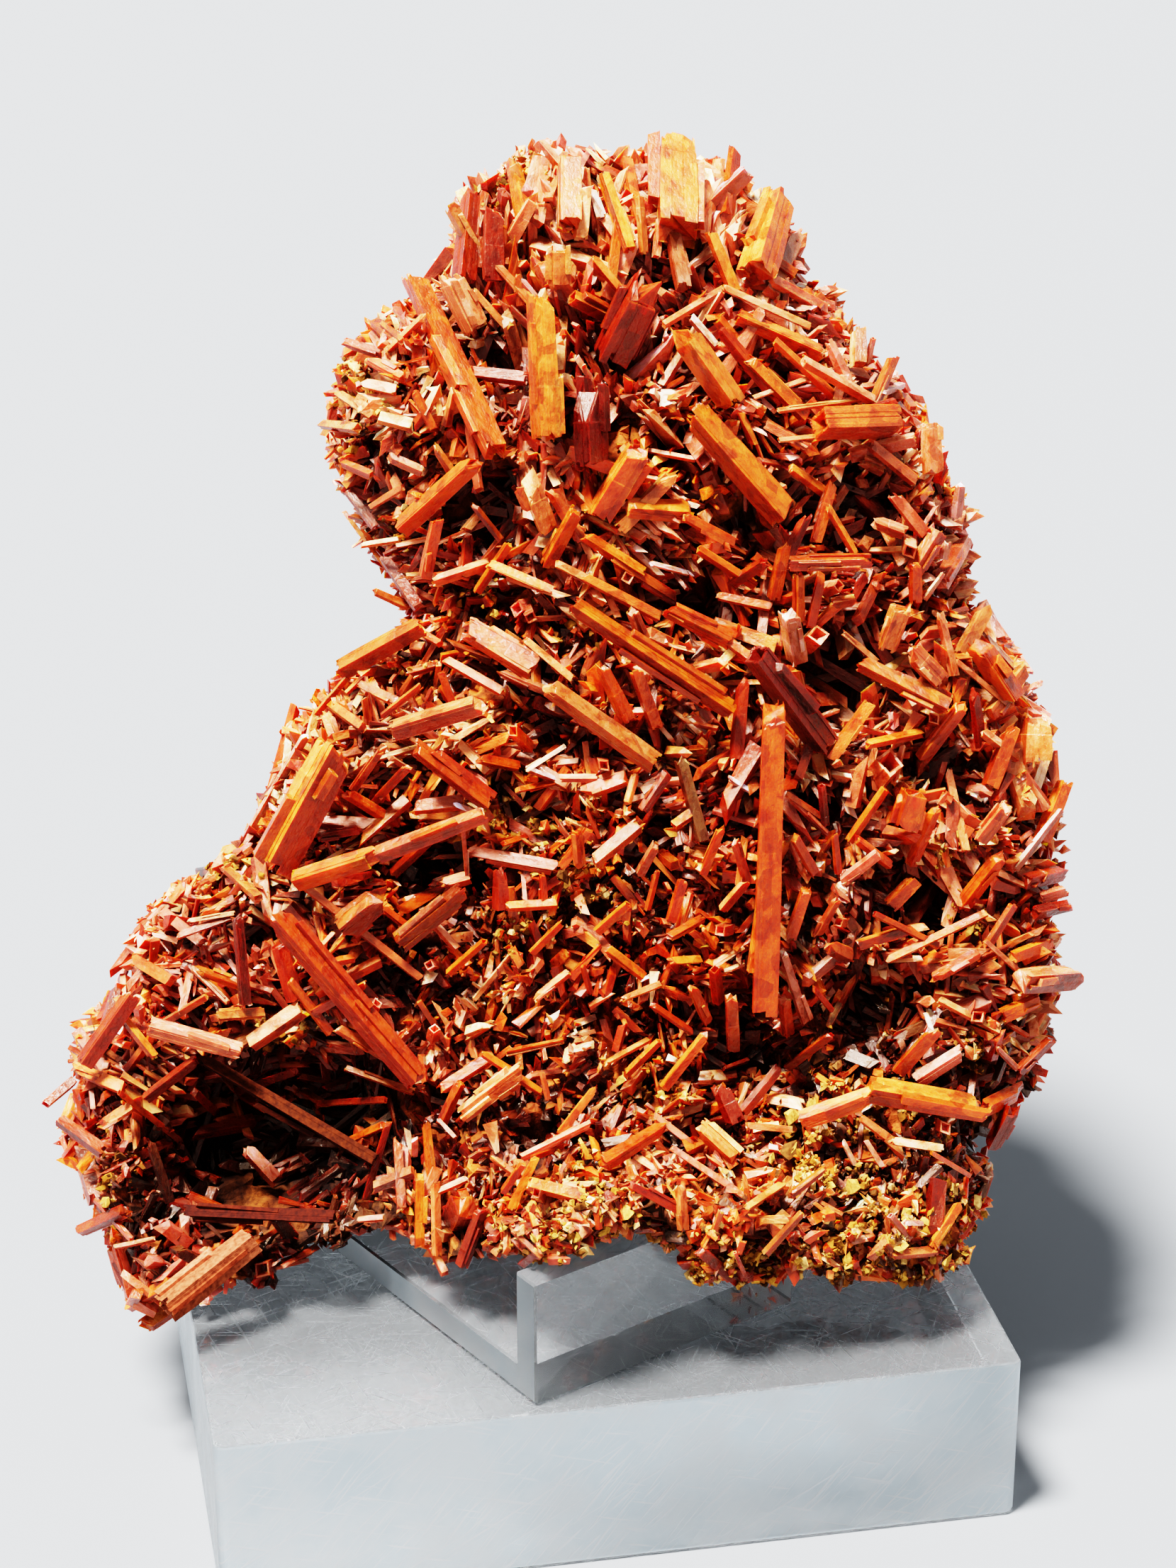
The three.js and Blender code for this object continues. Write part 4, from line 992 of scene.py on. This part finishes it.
def prisms(root, axis, length, width, tints):
    """Many plain prisms with slanting ends as one heap."""
    count = len(root)
    e1 = unit(np.cross(axis, rng.normal(size=(count, 3))))
    e2 = np.cross(axis, e1)
    keen = rng.choice([0.4, 0.85], count, p=[0.25, 0.75])  # how much of its width the tip keeps
    wide = (width / 2)[:, None] * e1
    thick = (width / 2 * rng.uniform(0.4, 1, count))[:, None] * e2
    signs = [(1, 1), (-1, 1), (-1, -1), (1, -1)]
    slant = rng.uniform(-1.2, 1.2, (count, 2)) * width[:, None]
    points, grains = np.zeros((count, 8, 3)), np.zeros((count, 8, 3))
    offset = rng.uniform(0, GRAIN_REACH, (count, 3))
    for i, (a, b) in enumerate(signs):
        corner = a * wide + b * thick
        end = length + (a * slant[:, 0] + b * slant[:, 1]) / 2
        points[:, i] = root + corner
        points[:, i + 4] = root + a * wide * keen[:, None] + b * thick * 0.85 + axis * end[:, None]
        grains[:, i] = offset + np.column_stack([a * width / 2, 0 * end, b * width / 2])
        grains[:, i + 4] = offset + np.column_stack([a * width / 2, end, b * width / 2])
    points += rng.normal(size=points.shape) * width[:, None, None] * 0.11
    faces = [(0, 1, 5, 4), (1, 2, 6, 5), (2, 3, 7, 6), (3, 0, 4, 7), (3, 2, 1, 0), (4, 5, 6, 7)]
    root_shade_tip_highlight = np.repeat([[0.6, 0.45, 0.4], [1.1, 1.25, 1.5]], 4, axis=0)  # dark root, bright tip: partly its own colour, partly painted shade and highlight
    heap = Heap()
    heap.add_many(points, faces, tints[:, None] * root_shade_tip_highlight, grains)
    return heap


def sprays():
    """Bundles of small crystals: root, axis, length, width and tint of each crystal."""
    # Where the sprays are: fewer of them at the back and in gaps.
    at, normal = samples(rock_mesh, SPRAYS * 6)  # more places than are kept
    weight = zone_weights(at)
    length, width, dense = (weight @ np.array([zone[i] for zone in ZONES]) for i in (3, 4, 5))
    gaps = (1 - 0.8 * gap_of(at)) * (1 - 0.75 * shade_of(at))
    keep = dense / 1.7 * np.clip(normal[:, 2] * 0.9 + 0.5, 0.04, 1) * gaps
    chosen = np.flatnonzero(rng.random(len(at)) < keep)[:SPRAYS]
    at, normal, length, width, weight = (x[chosen] for x in (at, normal, length, width, weight))
    # Which way each of them lies: by its zone, its place and chance, and outwards at the rim.
    members = np.minimum(1 + rng.geometric(MEMBERS[0], len(at)), MEMBERS[1])
    aims = weight @ np.array([(*zone[7], 0) for zone in ZONES])
    sway = unit(swirl(at, 9.0) * 0.9 + aims + unit(rng.normal(size=(len(at), 3))) * 0.7)
    rim = unit(np.cross(normal, (0, 0, 1.0))) * rng.choice([-1, 1], len(at))[:, None]
    sway = sway + rim * 2.0 * smooth(0.6, 0.1, normal[:, 2])[:, None]
    tangent = unit(sway - normal * (sway * normal).sum(1, keepdims=True))
    rise = rng.triangular(*RISE, len(at)) * np.clip(normal[:, 2] + 0.35, 0.25, 1)
    rise = np.radians(rise)[:, None]
    axis = tangent * np.cos(rise) + normal * np.sin(rise)
    comb = unit(np.cross(axis, normal))
    spread = rng.choice(SPREADS, len(at), p=SPREAD_ODDS)
    tone = np.array([varied(ZONES[rng.choice(len(ZONES), p=w)][6][rng.integers(4)], 0.2) for w in weight])
    # The crystals of each spray, side by side.
    of = np.repeat(np.arange(len(at)), members)
    count = len(of)
    axis = unit(axis[of] + rng.normal(size=(count, 3)) * spread[of][:, None])
    scale = rng.lognormal(-0.25, 0.45, count)
    length, width = length[of] * scale, width[of] * scale**0.4 * rng.uniform(0.4, 1.5, count)
    lift = rng.uniform(-0.4, 2.6, count)[:, None] * np.cos(rise[of])
    beside = comb[of] * (rng.uniform(-0.5, 0.5, count) * members[of] * width * 0.7)[:, None]
    root = at[of] + beside + rng.normal(size=(count, 3)) * (width * 0.6)[:, None] + normal[of] * lift
    root -= axis * (length * rng.uniform(0, 0.5, count))[:, None]
    tints = tone[of] * HUES[rng.choice(3, count, p=[0.3, 0.5, 0.2])]
    tints = np.clip(tints * rng.uniform(0.75, 1.25, (count, 1)), 0, 1)
    # Those that stand out are shortened, and left out if they still do.
    for shrink in (0.7, 0.6):
        long = proud(root + axis * length[:, None]) > PROUD
        length[long] *= shrink
    good = (proud(root + axis * length[:, None]) < PROUD) & (proud(root) < PROUD)
    return [x[good] for x in (root, axis, length, width, tints)]


SHARDS = 900  # middle-sized crystals lying across each other on top of the small ones


def shards():
    """The shards, in one mesh."""
    heap = Heap()
    at, normal = samples(rock_mesh, SHARDS * 3)  # more places than are kept
    weight = zone_weights(at)
    dense = np.clip(normal[:, 2] + 0.1, 0, 1) * (1 - 0.8 * shade_of(at)) * (1 - gap_of(at))
    for i in np.flatnonzero(rng.random(len(at)) < dense)[:SHARDS]:
        zone = ZONES[rng.choice(len(ZONES), p=weight[i])]
        length, width = zone[3] * rng.lognormal(0.5, 0.3), zone[4] * rng.lognormal(0.05, 0.3)
        sway = rng.normal(0, 0.6, 3) + (*zone[7], 0)
        axis = sway - normal[i] * (sway @ normal[i])
        axis = axis / np.linalg.norm(axis) + normal[i] * rng.normal(0.1, 0.25)
        axis /= np.linalg.norm(axis)
        middle = at[i] + normal[i] * rng.uniform(1.5, 4.0)
        ends = np.array([middle - axis * length / 2, middle + axis * length / 2])
        if proud(ends).max() > PROUD + 0.7:
            continue
        tint = varied(zone[6][rng.integers(4)], 0.2)
        flat = rng.uniform(0.35, 1)
        crystal(heap, ends[0], ends[1], width, rng.uniform(0, pi), tint, 1, flat)
    heap.make("shards", "crocoite_pale", CROCOITE)


shards()
small = sprays()
# By the height v of their roots, in three meshes.
for name, low, high in (("upper", 75, 999), ("middle", 35, 75), ("lower", -99, 35)):
    which = (small[0][:, 1] > low) & (small[0][:, 1] <= high)
    prisms(*[x[which] for x in small]).make("small_crystals_" + name, "crocoite_orange", CROCOITE)

CRUMBS = 13000  # short broken crystals


def crumbs(root, axis, length, width, tints):
    """The crumbs, stuck all over the small crystals, in one mesh."""
    pick = rng.integers(0, len(root), CRUMBS)
    turn = unit(rng.normal(size=(CRUMBS, 3)))
    at = root[pick] + axis[pick] * (length[pick] * rng.uniform(0, 0.9, CRUMBS))[:, None]
    at += turn * width[pick, None] * 0.45
    aim = unit(axis[pick] * 0.8 + turn + rng.normal(0, 0.4, (CRUMBS, 3)))
    hue = CRUMB_HUES[rng.choice(3, CRUMBS, p=[0.2, 0.45, 0.35])]
    long, wide = rng.lognormal(-0.1, 0.35, CRUMBS), rng.lognormal(-0.3, 0.35, CRUMBS)
    heap = prisms(at, aim, long, wide, np.clip(tints[pick] * hue, 0, 1))
    heap.make("crumbs", "crocoite_pale", CROCOITE)


crumbs(*small)

# ---------------- ochre crust
GRAINS = 9800  # of limonite
TRIES = 60  # places tried for each grain
CELLS, CELL = 180, 0.8  # reach and size of the squares the face is divided into
CRUST = 1.4  # how deep below the nearest point of its square the crust goes
CLUMP = 1.8  # size of the clumps within a patch
STRAY = 0.004  # chance of a grain outside the patches
# Tints of the grains, in a patch and outside it.
YELLOWS = np.array([(0.50, 0.24, 0.05), (0.30, 0.11, 0.016), (0.62, 0.37, 0.14), (0.10, 0.036, 0.008)])
ORANGES = np.array([TINTS[letter] for letter in "okpa"])


def lump():
    """An icosahedron of radius 1: its points and faces."""
    gold = (1 + sqrt(5)) / 2
    points = np.array([(a, b * gold, 0.0) for a in (-1, 1) for b in (-1, 1)])
    points = unit(np.concatenate([points, np.roll(points, 1, axis=1), np.roll(points, 2, axis=1)]))
    near = np.linalg.norm(points[:, None] - points[None], axis=2) < 1.1
    faces = []
    for i in range(12):
        for j in range(i + 1, 12):
            for k in range(j + 1, 12):
                if near[i, j] and near[j, k] and near[i, k]:
                    out = np.linalg.det(points[[i, j, k]]) > 0
                    faces.append((i, j, k) if out else (i, k, j))
    return points, faces


def ochre_crust(root, axis, length, width):
    """Grains of yellow limonite stuck to the front of the small crystals, thickest in patches."""
    pick = rng.integers(0, len(root), GRAINS * TRIES)
    place = rng.uniform(0.3, 1.05, len(pick))[:, None]
    turn = unit(np.cross(axis[pick], rng.normal(size=(len(pick), 3))))
    at = root[pick] + axis[pick] * length[pick, None] * place + turn * width[pick, None] * 0.5
    cell = tuple(np.floor((at[:, :2] + CELLS / 2) / CELL).astype(int).T)
    level = np.full((round(CELLS / CELL), round(CELLS / CELL) * 2), -99.0)
    np.maximum.at(level, cell, at[:, 2])
    front = at[:, 2] > level[cell] - CRUST
    patch = np.zeros(len(at))
    for u, v, ru, rv in OCHRES:
        patch += np.exp(-(((at[:, 0] - u) / ru) ** 2) - ((at[:, 1] - v) / rv) ** 2)
    near = rng.random(len(at)) < np.where(front, patch, 0) + STRAY
    at, patch = at[near], np.where(front, patch, 0)[near]
    stuck = smooth(-0.25, 0.1, field(at, CLUMP)) * smooth(-9.0, -3.0, proud(at))
    chosen = np.flatnonzero(rng.random(len(at)) < stuck)[:GRAINS]
    at, patch = at[chosen], patch[chosen]
    count = len(at)
    points, faces = lump()
    squash = unit(rng.normal(size=(count, 3)))[:, None]
    shapes = points[None] * rng.uniform(0.4, 1.7, (count, len(points), 1))
    shapes -= squash * (shapes * squash).sum(2, keepdims=True) * rng.uniform(0.2, 0.75, (count, 1, 1))
    coarse = 0.7 + 0.5 * np.clip(patch, 0, 1)[:, None, None]
    shapes = shapes * rng.lognormal(-1.3, 0.45, (count, 1, 1)) * coarse + at[:, None]
    kind = rng.choice(4, count, p=[0.35, 0.3, 0.15, 0.2])
    yellow = (patch > rng.uniform(0.05, 0.4, count))[:, None]
    tints = np.where(yellow, YELLOWS[kind], ORANGES[kind]) * rng.uniform(0.7, 1.2, (count, 1))
    heap = Heap()
    heap.add_many(shapes, faces, np.repeat(tints[:, None], len(points), axis=1), shapes)
    heap.make("ochre_crust", "matrix", OCHRE)


ochre_crust(*small[:4])

# ---------------- the stand
for name, finish in (("stand_block", BLOCK_ACRYLIC), ("stand_easel", EASEL_ACRYLIC)):
    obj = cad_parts[name]
    obj.data.materials.clear()
    obj.data.materials.append(finish)

# ---------------- floor, light and camera
FLOOR_SIZE = 20.0  # metres
FLOOR_DROP = 0.0003  # how far it lies below the block, in metres
FLOOR_COLOUR = (0.125, 0.13, 0.135, 1)
KEY = {"from": (-0.75, -0.3, 2.35), "irradiance": 22.0, "spread": 14.0}  # light from above left
STUDIO = {"Color": (0.8, 0.85, 0.9, 1), "Strength": 0.85}  # light from all around
EXPOSURE = 0.1


def floor():
    """A plain floor under the block."""
    mesh = bpy.data.meshes.new("floor")
    half = FLOOR_SIZE / 2
    bottom = cad_box[0].z - FLOOR_DROP
    corners = [(x * half, y * half, bottom) for x, y in ((-1, -1), (1, -1), (1, 1), (-1, 1))]
    mesh.from_pydata(corners, [], [(0, 1, 2, 3)])
    mesh.materials.append(material("floor", Base_Color=FLOOR_COLOUR, Roughness=0.7)[0])
    added("floor", mesh)


floor()
lamp = bpy.data.lights.new("key", "SUN")
lamp.energy, lamp.angle = KEY["irradiance"], radians(KEY["spread"])
key = added("key", lamp)
key.rotation_euler = Vector(KEY["from"]).to_track_quat("Z", "Y").to_euler()
world = bpy.data.worlds.new("studio")
world.use_nodes = True
for setting, value in STUDIO.items():
    world.node_tree.nodes["Background"].inputs[setting].default_value = value
bpy.context.scene.world = world
view = bpy.context.scene.view_settings
view.view_transform = "Filmic"
view.look = "Very High Contrast"
view.exposure = EXPOSURE

lens = bpy.data.cameras.new("camera")
lens.lens, lens.sensor_width = LENS, SENSOR
lens.clip_start, lens.clip_end = 0.01, 10
camera = added("camera", lens)
camera.matrix_world = Matrix.Translation(EYE_PART) @ FACE.to_3x3().normalized().to_4x4()
bpy.context.scene.camera = camera
